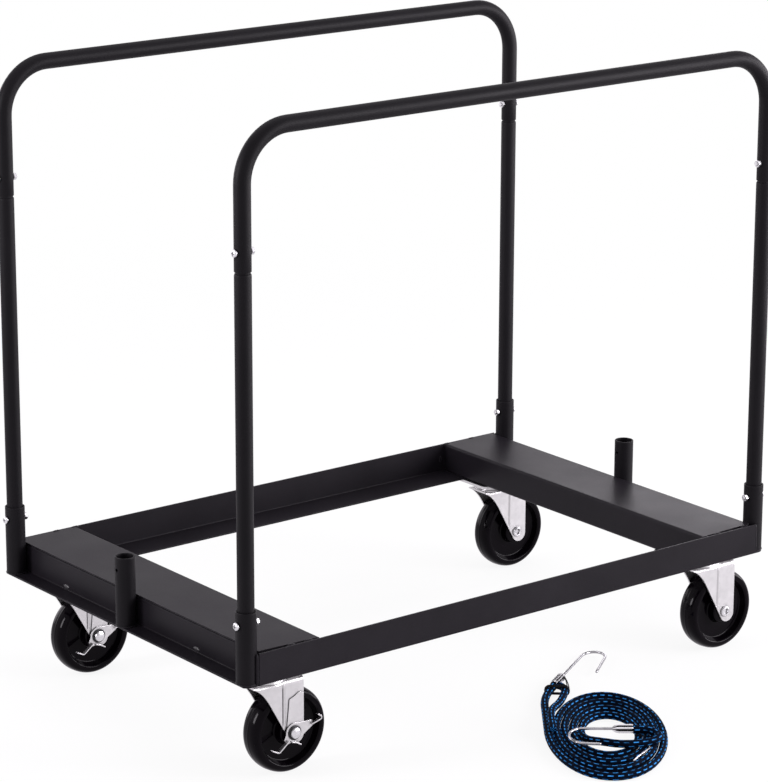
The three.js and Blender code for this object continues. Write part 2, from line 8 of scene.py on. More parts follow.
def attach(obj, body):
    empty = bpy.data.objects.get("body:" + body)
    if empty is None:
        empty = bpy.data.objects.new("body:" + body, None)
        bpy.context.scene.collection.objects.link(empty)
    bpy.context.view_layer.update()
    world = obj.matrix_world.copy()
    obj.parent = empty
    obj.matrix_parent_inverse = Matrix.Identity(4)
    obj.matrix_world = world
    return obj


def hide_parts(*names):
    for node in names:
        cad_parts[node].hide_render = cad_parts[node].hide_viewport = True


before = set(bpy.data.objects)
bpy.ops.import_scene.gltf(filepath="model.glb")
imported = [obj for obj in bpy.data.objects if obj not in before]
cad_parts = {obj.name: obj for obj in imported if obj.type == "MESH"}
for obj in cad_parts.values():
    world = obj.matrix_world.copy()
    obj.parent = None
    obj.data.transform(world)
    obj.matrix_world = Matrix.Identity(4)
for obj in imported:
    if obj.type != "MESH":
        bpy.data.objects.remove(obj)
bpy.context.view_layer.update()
scene = bpy.context.scene
scene.view_settings.view_transform = "Standard"
print("frame loaded:", len(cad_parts), "solids")

mm = 0.001
centreX = -7.85  # the wheels trail behind their swivels, so the posts stand off the origin by this


# Camera where the photograph was taken from: a long lens, a little above the hoops
cameraSet = {"place": (-3.08215, -3.92435, 1.8553), "yaw": 37.986, "pitch": 15.708, "roll": -0.16, "lens": 151.94}


def addCamera(opts):
    yaw, pitch, roll = (math.radians(opts[k]) for k in ("yaw", "pitch", "roll"))
    ahead = Vector((math.sin(yaw) * math.cos(pitch), math.cos(yaw) * math.cos(pitch), -math.sin(pitch)))
    level = Vector((math.cos(yaw), -math.sin(yaw), 0))
    down = ahead.cross(level)
    right = level * math.cos(roll) + down * math.sin(roll)
    up = level * math.sin(roll) - down * math.cos(roll)
    data = bpy.data.cameras.new("camera")
    data.lens = opts["lens"]
    data.sensor_width = 36
    data.clip_end = 200
    camera = bpy.data.objects.new("camera", data)
    camera.matrix_world = Matrix.Translation(opts["place"]) @ Matrix((right, up, -ahead)).transposed().to_4x4()
    scene.collection.objects.link(camera)
    scene.camera = camera


addCamera(cameraSet)
print("camera placed")


# Shapes are pairs of points and faces, in millimetres from the middle of the four posts
def join(*shapes):
    verts, faces = [], []
    for points, polys in shapes:
        start = len(verts)
        verts.extend(points)
        faces.extend(tuple(i + start for i in poly) for poly in polys)
    return verts, faces


def moved(shape, x=0, y=0, z=0):
    return [(a + x, b + y, c + z) for a, b, c in shape[0]], shape[1]


def turned(shape, axis, degrees):
    spin = Matrix.Rotation(math.radians(degrees), 3, axis)
    return [tuple(spin @ Vector(v)) for v in shape[0]], shape[1]


def mirrored(shape, x=1, y=1):
    faces = shape[1] if x * y > 0 else [poly[::-1] for poly in shape[1]]
    return [(a * x, b * y, c) for a, b, c in shape[0]], faces


def filleted(points, radius, steps=5):
    points = [Vector(p) for p in points]
    line = [points[0]]
    for before, corner, after in zip(points, points[1:], points[2:]):
        u, v = (before - corner), (after - corner)
        half = u.angle(v) / 2
        reach = min(radius / math.tan(half), 0.48 * u.length, 0.48 * v.length)
        r = reach * math.tan(half)
        u, v = u.normalized(), v.normalized()
        middle = corner + (u + v).normalized() * (r / math.sin(half))
        first, last = corner + u * reach - middle, corner + v * reach - middle
        turn = first.angle(last)
        for i in range(steps + 1):
            t = i / steps
            line.append(middle + (first * math.sin((1 - t) * turn) + last * math.sin(t * turn)) / math.sin(turn))
    line.append(points[-1])
    return line


def sheetOutline(points, thickness, radius, steps=5):
    line = filleted(points, radius, steps)
    one, other = [], []
    for i, p in enumerate(line):
        along = (line[min(i + 1, len(line) - 1)] - line[max(i - 1, 0)]).normalized()
        side = Vector((-along.y, along.x)) * thickness / 2
        one.append(tuple(p + side))
        other.append(tuple(p - side))
    return one + other[::-1]


def extruded(outline, axis, low, high):
    lift = {"x": lambda a, b, c: (c, a, b), "y": lambda a, b, c: (a, c, b), "z": lambda a, b, c: (a, b, c)}[axis]
    count = len(outline)
    verts = [lift(p[0], p[1], low) for p in outline] + [lift(p[0], p[1], high) for p in outline]
    faces = [tuple(reversed(range(count))), tuple(range(count, 2 * count))]
    faces += [(k, (k + 1) % count, count + (k + 1) % count, count + k) for k in range(count)]
    return verts, faces


def lathed(profile, sides, ring=False):
    verts, rows = [], []
    for radius, height in profile:
        count = 1 if radius < 1e-6 else sides
        rows.append(range(len(verts), len(verts) + count))
        for k in range(count):
            angle = 2 * math.pi * k / sides
            verts.append((radius * math.cos(angle), radius * math.sin(angle), height))
    faces = []
    for low, high in list(zip(rows, rows[1:])) + ([(rows[-1], rows[0])] if ring else []):
        for k in range(sides):
            n = (k + 1) % sides
            corners = [low[k % len(low)], low[n % len(low)], high[n % len(high)], high[k % len(high)]]
            poly = tuple(c for i, c in enumerate(corners) if c not in corners[:i])
            if len(poly) > 2:
                faces.append(poly)
    return verts, faces


def frames(points, closed=False):
    points = [Vector(p) for p in points]
    last = len(points) - 1
    normal, made = None, []
    for i, p in enumerate(points):
        if closed:
            along = points[(i + 1) % (last + 1)] - points[i - 1]
        else:
            along = points[min(i + 1, last)] - points[max(i - 1, 0)]
        along.normalize()
        if normal is None:
            normal = along.orthogonal() if abs(along.z) > 0.9 else along.cross(Vector((0, 0, 1)))
        normal = (normal - along * normal.dot(along)).normalized()
        made.append((p, normal.copy(), along.cross(normal)))
    return made


def tube(points, radius, sides=12, closed=False, tall=1):
    # radius is one number, or one for each point; tall below 1 is a section pressed flat
    rows = frames(points, closed)
    radii = radius if isinstance(radius, list) else [radius] * len(rows)
    verts, faces = [], []
    for (p, normal, side), r in zip(rows, radii):
        for k in range(sides):
            angle = 2 * math.pi * k / sides
            verts.append(tuple(p + (normal * math.cos(angle) + side * math.sin(angle) * tall) * r))
    count = len(rows)
    for i in range(count if closed else count - 1):
        a, b = i * sides, ((i + 1) % count) * sides
        faces += [(a + k, a + (k + 1) % sides, b + (k + 1) % sides, b + k) for k in range(sides)]
    if not closed:
        faces += [tuple(reversed(range(sides))), tuple(range((count - 1) * sides, count * sides))]
    return verts, faces


def pipe(points, outer, inner, sides):
    # hollow tube with a wall; outer is one radius for each point
    rows = frames(points)
    verts, faces, count = [], [], len(rows)
    for radii in (outer, [inner] * count):
        for (p, normal, side), r in zip(rows, radii):
            for k in range(sides):
                angle = 2 * math.pi * k / sides
                verts.append(tuple(p + (normal * math.cos(angle) + side * math.sin(angle)) * r))
    bore = count * sides
    for k in range(sides):
        n = (k + 1) % sides
        for i in range(count - 1):
            a, b = i * sides, (i + 1) * sides
            faces.append((a + k, a + n, b + n, b + k))
            faces.append((bore + a + n, bore + a + k, bore + b + k, bore + b + n))
        end = (count - 1) * sides
        faces.append((n, k, bore + k, bore + n))
        faces.append((end + k, end + n, bore + end + n, bore + end + k))
    return verts, faces


def rippled(length, radius, pitch, taper):
    # radii along a weld bead: small ripples, thinner at both ends
    steps = max(8, round(length / pitch * 5))
    radii = []
    for i in range(steps + 1):
        s = length * i / steps
        ends = min(1, s / taper, (length - s) / taper) if taper else 1
        radii.append(radius * (0.35 + 0.65 * math.sqrt(max(0, ends))) * (0.9 + 0.1 * abs(math.sin(math.pi * s / pitch))))
    return steps, radii


def bead(start, end, radius, pitch=3.2):
    a, b = Vector(start), Vector(end)
    steps, radii = rippled((b - a).length, radius, pitch, radius * 1.5)
    return tube([a.lerp(b, i / steps) for i in range(steps + 1)], radii, 10)


def ringBead(x, y, z, ring, radius, pitch=3.2):
    around = round(2 * math.pi * ring / pitch) * 4
    points, radii = [], []
    for i in range(around):
        angle = 2 * math.pi * i / around
        points.append((x + ring * math.cos(angle), y + ring * math.sin(angle), z))
        radii.append(radius * (0.9 + 0.13 * abs(math.cos(2 * angle)) * abs(math.sin(math.pi * i / 4))))
    return tube(points, radii, 8, closed=True)


def dome(across, along, height, rings=5, sides=20):
    # low rounded mound on the XY plane
    verts, faces = lathed([(math.sin(math.pi / 2 * i / rings), math.cos(math.pi / 2 * i / rings)) for i in range(rings + 1)] + [(0, -0.2)], sides)
    return [(a * across, b * along, c * height) for a, b, c in verts], faces


def carve(piece, cutters):
    tools = []
    for shape in cutters:
        tool = bpy.data.objects.new("tool", meshOf("tool", shape))
        scene.collection.objects.link(tool)
        tools.append(tool)
        cut = piece.modifiers.new("cut", "BOOLEAN")
        cut.object = tool
        cut.operation = "DIFFERENCE"
        cut.solver = "EXACT"
    bpy.context.view_layer.update()
    done = bpy.data.meshes.new_from_object(piece.evaluated_get(bpy.context.evaluated_depsgraph_get()))
    work = bmesh.new()
    work.from_mesh(done)
    bmesh.ops.remove_doubles(work, verts=work.verts, dist=5e-6)  # slivers left by the cut
    bmesh.ops.dissolve_degenerate(work, edges=work.edges, dist=5e-6)
    work.to_mesh(done)
    work.free()
    old = piece.data
    piece.modifiers.clear()
    piece.data = done
    bpy.data.meshes.remove(old)
    for tool in tools:
        bpy.data.meshes.remove(tool.data)


def meshOf(name, shape, origin=(0, 0, 0)):
    verts, faces = shape
    mesh = bpy.data.meshes.new(name)
    ox, oy, oz = origin
    mesh.from_pydata([((x + centreX - ox) * mm, (y - oy) * mm, (z - oz) * mm) for x, y, z in verts], [], faces)
    work = bmesh.new()
    work.from_mesh(mesh)
    bmesh.ops.remove_doubles(work, verts=work.verts, dist=1e-6)
    bmesh.ops.recalc_face_normals(work, faces=work.faces)
    work.to_mesh(mesh)
    work.free()
    return mesh


def addPiece(name, shape, finish, body, nodes=(), sharp=40, bevel=0, cutters=(), origin=(0, 0, 0)):
    # origin is in scene millimetres, for finishes that follow a piece's own centre
    mesh = meshOf(name, shape, origin)
    piece = bpy.data.objects.new(name, mesh)
    piece.location = [v * mm for v in origin]
    scene.collection.objects.link(piece)
    if cutters:
        carve(piece, cutters)
    piece.data.shade_smooth()
    if bevel:
        soft = piece.modifiers.new("edges", "BEVEL")
        soft.width = bevel * mm
        soft.segments = 2
        soft.limit_method = "ANGLE"
        soft.angle_limit = math.radians(40)
        piece.modifiers.new("flats", "WEIGHTED_NORMAL")
    else:
        piece.data.set_sharp_from_angle(angle=math.radians(sharp))
    piece.data.materials.clear()
    piece.data.materials.append(finish)
    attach(piece, body)
    if nodes:
        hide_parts(*nodes)
    return piece


# Finishes
def addNode(tree, kind, values=None, **options):
    made = tree.nodes.new(kind)
    for key, value in options.items():
        setattr(made, key, value)
    for key, value in (values or {}).items():
        made.inputs[key].default_value = value
    return made


def newFinish(name, sockets):
    material = bpy.data.materials.new(name)
    material.use_nodes = True
    tree = material.node_tree
    shader = tree.nodes["Principled BSDF"]
    for key, value in sockets.items():
        shader.inputs[key].default_value = value
    return material, tree, shader


def noiseOf(tree, coords, scale, detail=3, rough=0.55):
    noise = addNode(tree, "ShaderNodeTexNoise", {"Scale": scale, "Detail": detail, "Roughness": rough})
    tree.links.new(coords, noise.inputs["Vector"])
    return noise.outputs["Fac"]


def spreadOf(tree, value, low, high, start, end):
    made = addNode(tree, "ShaderNodeMapRange", {"From Min": low, "From Max": high, "To Min": start, "To Max": end})
    tree.links.new(value, made.inputs["Value"])
    return made.outputs["Result"]


def mixOf(tree, factor, one, other):
    # one and other are colours or sockets
    made = addNode(tree, "ShaderNodeMix", data_type="RGBA")
    tree.links.new(factor, made.inputs[0])
    for socket, value in zip(made.inputs[6:8], (one, other)):
        if isinstance(value, tuple):
            socket.default_value = (*value, 1)
        else:
            tree.links.new(value, socket)
    return made.outputs[2]


def mathOf(tree, how, one, other=0.0):
    made = addNode(tree, "ShaderNodeMath", operation=how)
    for socket, value in zip(made.inputs, (one, other)):
        if isinstance(value, (int, float)):
            socket.default_value = value
        else:
            tree.links.new(value, socket)
    return made.outputs[0]


def edgeWearAndHighlight(tree, coords, radius, patch):
    # bright where an edge is turned: partly rubbed wear, partly a painted highlight along rounded edges, broken up by
    # noise
    soft = addNode(tree, "ShaderNodeBevel", {"Radius": radius * mm}, samples=4)
    plain = addNode(tree, "ShaderNodeNewGeometry")
    dot = addNode(tree, "ShaderNodeVectorMath", operation="DOT_PRODUCT")
    tree.links.new(soft.outputs["Normal"], dot.inputs[0])
    tree.links.new(plain.outputs["Normal"], dot.inputs[1])
    turn = spreadOf(tree, dot.outputs["Value"], 0.99, 0.8, 0, 1)
    return mathOf(tree, "MULTIPLY", turn, spreadOf(tree, noiseOf(tree, coords, patch), 0.4, 0.6, 0.15, 1))


def bumpOf(tree, shader, height, strength, depth):
    bump = addNode(tree, "ShaderNodeBump", {"Strength": strength, "Distance": depth * mm})
    tree.links.new(height, bump.inputs["Height"])
    tree.links.new(bump.outputs["Normal"], shader.inputs["Normal"])


def powderCoat(name, opts):
    material, tree, shader = newFinish(name, {"Specular IOR Level": opts["specular"]})
    coords = addNode(tree, "ShaderNodeTexCoord").outputs["Object"]
    cloud = noiseOf(tree, coords, 7, 5)
    pebble = noiseOf(tree, coords, opts["pebble"], 2)
    tone = mixOf(tree, spreadOf(tree, cloud, 0.3, 0.7, 0, 1), opts["dark"], opts["light"])
    grit = mixOf(tree, spreadOf(tree, noiseOf(tree, coords, 1400, 1), 0.62, 0.75, 0, 0.5), tone, opts["speck"])
    # edges lightened: part rubbed wear, part painted highlight
    wornAndLit = mathOf(tree, "MULTIPLY", edgeWearAndHighlight(tree, coords, 1.6, 55), opts["wearAndHighlight"])
    tree.links.new(mixOf(tree, wornAndLit, grit, opts["rubbedAndLit"]), shader.inputs["Base Color"])
    gloss = mathOf(tree, "ADD", spreadOf(tree, cloud, 0.3, 0.7, *opts["rough"]), spreadOf(tree, pebble, 0, 1, -0.04, 0.04))
    tree.links.new(gloss, shader.inputs["Roughness"])
    bumpOf(tree, shader, pebble, opts["peel"], 0.25)
    return material


def zincPlate(name, opts):
    material, tree, shader = newFinish(name, {"Metallic": opts["metal"]})
    coords = addNode(tree, "ShaderNodeTexCoord").outputs["Object"]
    cells = addNode(tree, "ShaderNodeTexVoronoi", {"Scale": opts["spangle"], "Randomness": 1.0})
    tree.links.new(coords, cells.inputs["Vector"])
    grey = addNode(tree, "ShaderNodeRGBToBW")
    tree.links.new(cells.outputs["Color"], grey.inputs[0])
    cloud = noiseOf(tree, coords, 38, 5)
    patch = mathOf(tree, "ADD", mathOf(tree, "MULTIPLY", grey.outputs[0], 0.35), mathOf(tree, "MULTIPLY", cloud, 0.65))
    tone = mixOf(tree, spreadOf(tree, patch, 0.25, 0.7, 0, 1), opts["dark"], opts["light"])
    # painted shade: creases and hollows darkened by an occlusion mask, broken up by noise
    cavity = addNode(tree, "ShaderNodeAmbientOcclusion", {"Distance": opts["crease"] * mm}, samples=8)
    creaseShade = mathOf(tree, "MULTIPLY", spreadOf(tree, cavity.outputs["AO"], 0.95, 0.45, 0, 0.9), spreadOf(tree, cloud, 0.3, 0.6, 0.6, 1))
    # edges lightened: part rubbed wear, part painted highlight
    wornAndLit = mathOf(tree, "MULTIPLY", edgeWearAndHighlight(tree, coords, 0.8, 140), 0.6)
    beforeShade = mixOf(tree, wornAndLit, tone, opts["rubbedAndLit"])
    tree.links.new(mixOf(tree, creaseShade, beforeShade, opts["creaseShadeTone"]), shader.inputs["Base Color"])
    tree.links.new(spreadOf(tree, patch, 0.2, 0.75, *opts["rough"]), shader.inputs["Roughness"])
    bumpOf(tree, shader, noiseOf(tree, coords, 700, 2), 0.07, 0.12)
    return material


def mouldedBlack(name, opts):
    # object centres are on the axles, so the rings and the tread's dust follow the wheel
    material, tree, shader = newFinish(name, {"Specular IOR Level": opts["specular"]})
    coords = addNode(tree, "ShaderNodeTexCoord").outputs["Object"]
    flat = addNode(tree, "ShaderNodeVectorMath", {1: (1, 0, 1)}, operation="MULTIPLY")
    tree.links.new(coords, flat.inputs[0])
    out = addNode(tree, "ShaderNodeVectorMath", operation="LENGTH")
    tree.links.new(flat.outputs[0], out.inputs[0])
    radius = out.outputs["Value"]
    cloud = noiseOf(tree, coords, 30, 5)
    tread = mathOf(tree, "MULTIPLY", spreadOf(tree, radius, 0.0656, 0.0663, 0, 1), spreadOf(tree, cloud, 0.35, 0.65, 0.3, 1))
    tone = mixOf(tree, spreadOf(tree, cloud, 0.3, 0.7, 0, 1), opts["dark"], opts["light"])
    tree.links.new(mixOf(tree, tread, tone, opts["dust"]), shader.inputs["Base Color"])
    gloss = mathOf(tree, "ADD", spreadOf(tree, cloud, 0.3, 0.7, *opts["rough"]), mathOf(tree, "MULTIPLY", tread, 0.12))
    tree.links.new(gloss, shader.inputs["Roughness"])
    rings = mathOf(tree, "SINE", mathOf(tree, "MULTIPLY", radius, 2 * math.pi / 0.0011))
    height = mathOf(tree, "ADD", mathOf(tree, "MULTIPLY", rings, 0.25), noiseOf(tree, coords, 260, 2))
    bumpOf(tree, shader, height, 0.08, 0.1)
    return material


def wovenCord(name, opts):
    # the tube's UV runs in millimetres along and in turns around
    material, tree, shader = newFinish(name, {"Specular IOR Level": 0.025})
    uv = addNode(tree, "ShaderNodeUVMap", uv_map="route")
    parts = addNode(tree, "ShaderNodeSeparateXYZ")
    tree.links.new(uv.outputs[0], parts.inputs[0])
    along, around = parts.outputs["X"], parts.outputs["Y"]
    row = mathOf(tree, "MULTIPLY", around, opts["rows"])
    offset = mathOf(tree, "ABSOLUTE", mathOf(tree, "SUBTRACT", mathOf(tree, "FRACT", row), 0.5))
    inRow = spreadOf(tree, offset, opts["fleckWidth"], opts["fleckWidth"] + 0.05, 1, 0)
    shifted = mathOf(tree, "ADD", mathOf(tree, "DIVIDE", along, opts["fleckPitch"]), mathOf(tree, "MULTIPLY", mathOf(tree, "FLOOR", row), 0.5))
    dash = mathOf(tree, "ABSOLUTE", mathOf(tree, "SUBTRACT", mathOf(tree, "FRACT", shifted), 0.5))
    inDash = spreadOf(tree, dash, opts["fleckLength"], opts["fleckLength"] + 0.05, 1, 0)
    turn = 2 * math.pi
    left = mathOf(tree, "SINE", mathOf(tree, "ADD", mathOf(tree, "MULTIPLY", along, turn / opts["braid"]), mathOf(tree, "MULTIPLY", around, turn * opts["strands"])))
    right = mathOf(tree, "SINE", mathOf(tree, "SUBTRACT", mathOf(tree, "MULTIPLY", along, turn / opts["braid"]), mathOf(tree, "MULTIPLY", around, turn * opts["strands"])))
    weave = mathOf(tree, "MULTIPLY", left, right)
    coords = addNode(tree, "ShaderNodeTexCoord").outputs["Object"]
    fuzz = noiseOf(tree, coords, 900, 2)
    base = mixOf(tree, spreadOf(tree, mathOf(tree, "ADD", weave, fuzz), -0.4, 1.4, 0, 1), opts["dark"], opts["light"])
    blue = mixOf(tree, spreadOf(tree, fuzz, 0.3, 0.7, 0, 1), opts["fleckDark"], opts["fleck"])
    sunk = spreadOf(tree, noiseOf(tree, coords, opts["patch"], 1), 0.46, 0.64, 1, 0.2)  # flecks that lie deeper in the weave
    fleck = mathOf(tree, "MULTIPLY", mathOf(tree, "MULTIPLY", inRow, inDash), sunk)
    tree.links.new(mixOf(tree, fleck, base, blue), shader.inputs["Base Color"])
    tree.links.new(spreadOf(tree, fuzz, 0.3, 0.7, 0.6, 0.8), shader.inputs["Roughness"])
    bumpOf(tree, shader, mathOf(tree, "ADD", weave, fuzz), 0.5, 0.4)
    return material


# the rubbed colours are partly rubbed wear, partly a painted highlight on edges
coatSet = {"dark": (0.0062, 0.0052, 0.007), "light": (0.01, 0.0085, 0.0111), "speck": (0.022, 0.021, 0.024),
           "rubbedAndLit": (0.085, 0.082, 0.09), "wearAndHighlight": 0.4, "rough": (0.38, 0.47), "specular": 0.1, "pebble": 420, "peel": 0.22}
tubeSet = {"dark": (0.0036, 0.0031, 0.0041), "light": (0.0058, 0.005, 0.0064), "speck": (0.014, 0.0135, 0.015),
           "rubbedAndLit": (0.06, 0.058, 0.064), "wearAndHighlight": 0.35, "rough": (0.47, 0.55), "specular": 0.1, "pebble": 520, "peel": 0.15}
bareSet = {"dark": (0.012, 0.0115, 0.013), "light": (0.075, 0.073, 0.077), "speck": (0.3, 0.3, 0.3),
           "rubbedAndLit": (0.3, 0.3, 0.3), "wearAndHighlight": 0.5, "rough": (0.3, 0.45), "specular": 0.4, "pebble": 700, "peel": 0.5}
threadSet = {"dark": (0.0012, 0.0012, 0.0015), "light": (0.0035, 0.0034, 0.004), "speck": (0.012, 0.012, 0.012),
             "rubbedAndLit": (0.01, 0.01, 0.01), "wearAndHighlight": 0.3, "rough": (0.5, 0.7), "specular": 0.08, "pebble": 900, "peel": 0.5}
# each metal set's crease colour is painted shade in its creases and hollows
zincSet = {"dark": (0.56, 0.556, 0.556), "light": (0.605, 0.6, 0.6), "rubbedAndLit": (0.75, 0.75, 0.76), "creaseShadeTone": (0.11, 0.11, 0.115),
           "rough": (0.3, 0.37), "metal": 0.95, "spangle": 190, "crease": 5}
boltSet = {"dark": (0.55, 0.55, 0.56), "light": (0.76, 0.76, 0.77), "rubbedAndLit": (0.88, 0.88, 0.89), "creaseShadeTone": (0.05, 0.05, 0.05),
           "rough": (0.22, 0.36), "metal": 1.0, "spangle": 600, "crease": 4}
wireSet = {"dark": (0.3, 0.3, 0.31), "light": (0.46, 0.46, 0.47), "rubbedAndLit": (0.62, 0.62, 0.64), "creaseShadeTone": (0.1, 0.1, 0.1),
           "rough": (0.14, 0.22), "metal": 1.0, "spangle": 120, "crease": 4}
# black finish of the washer under the brake bolt: painted shade for the gap under the head
shadeRingSet = {"dark": (0.012, 0.012, 0.013), "light": (0.03, 0.03, 0.032), "rubbedAndLit": (0.16, 0.16, 0.165), "creaseShadeTone": (0.006, 0.006, 0.006),
                 "rough": (0.4, 0.55), "metal": 0.6, "spangle": 500, "crease": 3}
wheelSet = {"dark": (0.001, 0.0005, 0.0012), "light": (0.002, 0.0012, 0.0023), "dust": (0.0026, 0.0018, 0.0029),
            "rough": (0.08, 0.13), "specular": 0.06}
cordSet = {"dark": (0.0004, 0.001, 0.0032), "light": (0.001, 0.0042, 0.014), "fleck": (0.06, 0.4, 0.95), "fleckDark": (0.015, 0.16, 0.5),
           "rows": 6, "fleckWidth": 0.095, "fleckPitch": 14, "fleckLength": 0.25, "patch": 70, "braid": 3.4, "strands": 7}

coat = powderCoat("frame_coat", coatSet)
tubeCoat = powderCoat("tube_coat", tubeSet)
bareWeld = powderCoat("bare_weld", bareSet)
blackThread = powderCoat("black_thread", threadSet)
zinc = zincPlate("bright_zinc", zincSet)
boltZinc = zincPlate("bolt_zinc", boltSet)
wire = zincPlate("hook_wire", wireSet)
shadeRingSteel = zincPlate("shade_ring_painted", shadeRingSet)
wheelBlack = mouldedBlack("wheel_black", wheelSet)
cordWeave = wovenCord("cord_weave", cordSet)
print("finishes made")


# Elastic tie on the floor in front of the cart: one cord in a flat coil, a wire hook at each end, and its doubled tail
tieSet = {"x": 66, "y": -455, "turn": -38, "diameter": 12, "gap": 0.5, "loops": 4, "halfWidth": 90, "halfLength": 179,
          "lengthPitch": 28, "climbShare": 0.5, "overHalfWidth": 74, "overNear": 42, "overTurn": 25,
          "leadStraight": 112, "leadRadius": 211, "leadTurn": 21, "steps": 48, "sides": 24, "swell": 0.25}
hookSet = {"gap": 0.3, "ferruleRadius": 7.5, "sleeve": 5.7, "bar": 1.6, "ripple": 0.14, "wire": 4.5,
           "outer": {"side": 1, "ferrule": 44, "shank": 98, "across": 19, "along": 26, "turn": 172, "back": 66, "bars": 9},
           "inner": {"side": -1, "ferrule": 30, "shank": 46, "across": 30, "along": 22, "turn": 176, "back": 26, "bars": 6}}
# tail, keeper and staple points are in the coil's own frame, before it is turned and placed
tailSet = {"line": [(-66.5, 200, 7), (-60.8, 196.5, 6.6), (-56.8, 189, 6.25), (-55.8, 178, 6.25), (-57.6, 163, 6.25), (-62.6, 140, 6.25),
                    (-69.2, 118, 7), (-75.8, 97, 10.2), (-80.6, 75, 14.2), (-83.3, 52, 16.4), (-83.9, 30, 16.9), (-83.8, 10, 16.9), (-83, -12, 16.9)],
           "binding": 1.2, "bindingTurns": 3, "bindingPitch": 2.6, "lead": (-79.6, 177), "tail": (-56.2, 176), "keeper": 0.85,
           "keepers": [[(-53.5, 238, 8), (-50.4, 211, 9.5), (-48.9, 192, 9), (-48.3, 178, 6)], [(-54.5, 232, 9), (-52.4, 208, 12), (-51.6, 188, 11)]],
           "staple": [(30.8, -121.3, 10.8), (38, -110.5, 13.2), (45.7, -99.4, 13.8), (53, -84.5, 13.3), (59.9, -69.8, 11.2)]}


def smooth(t):
    t = max(0.0, min(1.0, t))
    return t * t * (3 - 2 * t)


def lerp(a, b, t):
    return a + (b - a) * t


def curved(points, steps=6):
    points = [Vector(p) for p in points]
    ends = [points[0] * 2 - points[1]] + points + [points[-1] * 2 - points[-2]]
    line = []
    for a, b, c, d in zip(ends, ends[1:], ends[2:], ends[3:]):
        for i in range(steps):
            t = i / steps
            line.append((b * 2 + (c - a) * t + (a * 2 - b * 5 + c * 4 - d) * t ** 2 + (b * 3 - a - c * 3 + d) * t ** 3) / 2)
    return line + [points[-1]]


def inCoil(opts, points):
    spin = Matrix.Rotation(math.radians(opts["turn"]), 3, "Z")
    return [spin @ Vector(p) + Vector((opts["x"], opts["y"], 0)) for p in points]


def tieRoute(opts):
    pitch = opts["diameter"] + opts["gap"]
    low = opts["diameter"] / 2
    high = low + pitch
    steps = opts["steps"]
    bend = math.radians(opts["leadTurn"])
    lead = []
    for i in range(13):
        angle = bend * i / 12
        lead.append((opts["leadRadius"] * (1 - math.cos(angle)) - opts["halfWidth"], opts["leadRadius"] * math.sin(angle) + opts["leadStraight"], low))
    points = [(lead[-1][0] + opts["diameter"] * math.sin(bend), lead[-1][1] + opts["diameter"] * math.cos(bend), low)] + lead[::-1]
    points += [(-opts["halfWidth"], opts["leadStraight"] * i / 6, low) for i in range(5, 0, -1)]
    flat = opts["loops"] * steps
    total = flat + steps // 2  # the last half turn climbs over the others
    widenStart = opts["climbShare"] / 2
    for i in range(total + 1):
        loops = i / steps
        climb = max(0, (i - flat) / (total - flat))
        angle = math.pi + loops * 2 * math.pi
        widen = smooth((climb - widenStart) / (1 - widenStart))
        halfWidth = lerp(opts["halfWidth"] - pitch * loops, opts["overHalfWidth"], widen)
        halfLength = opts["halfLength"] - opts["lengthPitch"] * loops
        z = lerp(low, high, smooth(climb / opts["climbShare"]))
        points.append((halfWidth * math.cos(angle), halfLength * math.sin(angle) - opts["overNear"] * widen, z))
    turnX = opts["overHalfWidth"] - opts["overTurn"]
    for i in range(1, steps // 4 + 1):
        angle = math.pi / 2 * i / (steps // 4)
        points.append((turnX + opts["overTurn"] * math.cos(angle), opts["overTurn"] * math.sin(angle) - opts["overNear"], high))
    points.append((turnX - opts["diameter"], opts["overTurn"] - opts["overNear"], high))
    return inCoil(opts, points)


def routeUv(piece, points, sides):
    # along in millimetres, around in turns; the tube's faces come first and in order
    lengths = [0]
    for a, b in zip(points, points[1:]):
        lengths.append(lengths[-1] + (b - a).length)
    layer = piece.data.uv_layers.new(name="route")
    for poly in piece.data.polygons:
        rows = [v // sides for v in poly.vertices]
        columns = [v % sides for v in poly.vertices]
        wraps = max(columns) - min(columns) > 1
        for loop, row, column in zip(poly.loop_indices, rows, columns):
            layer.data[loop].uv = (lengths[row], (column + (sides if wraps and column == 0 else 0)) / sides)


def sleeveShape(opts, size):
    r, low, high = opts["sleeve"], opts["gap"], opts["gap"] + size["ferrule"] - 4
    return turned(lathed([(0, low), (r - 0.6, low), (r, low + 0.8), (r, high - 2), (r - 1.5, high), (0, high)], 28), "X", -90)


def barsShape(opts, size):
    # wires laid along the sleeve and drawn in to the shank
    start, length = opts["gap"], size["ferrule"]
    ring = opts["ferruleRadius"] - opts["bar"]
    rows = [(ring - 0.5, start + 0.3, 0.8), (ring, start + 1.6, 1)]
    count = round((length - 11) / 1.5)
    rows += [(ring, lerp(start + 2.4, length - 8, i / count), 1 - opts["ripple"] * (i % 2)) for i in range(count + 1)]
    rows += [(ring - 0.7, length - 5, 1), (ring - 2.2, length - 2, 0.9), (2.4, length + 0.8, 0.6)]
    bars = []
    for k in range(size["bars"]):
        angle = math.pi / 2 + 2 * math.pi * k / size["bars"]
        line = [(r * math.cos(angle), y, r * math.sin(angle)) for r, y, share in rows]
        bars.append(tube(line, [opts["bar"] * share for r, y, share in rows], 8))
    return join(*bars)


def hookShape(opts, size):
    # along Y from the cord's end: the shank and an open bend
    length = size["ferrule"]
    bendY, side = length + size["shank"], size["side"]
    line = [(0, lerp(length - 5, bendY, i / 8), 0) for i in range(8)]
    for i in range(25):
        angle = math.radians(size["turn"]) * i / 24
        line.append((side * size["across"] * (1 - math.cos(angle)), bendY + size["along"] * math.sin(angle), 0))
    angle = math.radians(size["turn"])
    ahead = Vector((side * size["across"] * math.sin(angle), size["along"] * math.cos(angle), 0)).normalized()
    last, half = Vector(line[-1]), opts["wire"] / 2
    line += [tuple(last + ahead * size["back"] * i / 6) for i in range(1, 6)]
    radii = [half] * len(line)
    for i in range(6):  # rounded tip
        angle = math.pi / 2 * i / 5.4
        line.append(tuple(last + ahead * (size["back"] - half * (1 - math.sin(angle)))))
        radii.append(half * math.cos(angle))
    return tube(line, radii, 14)


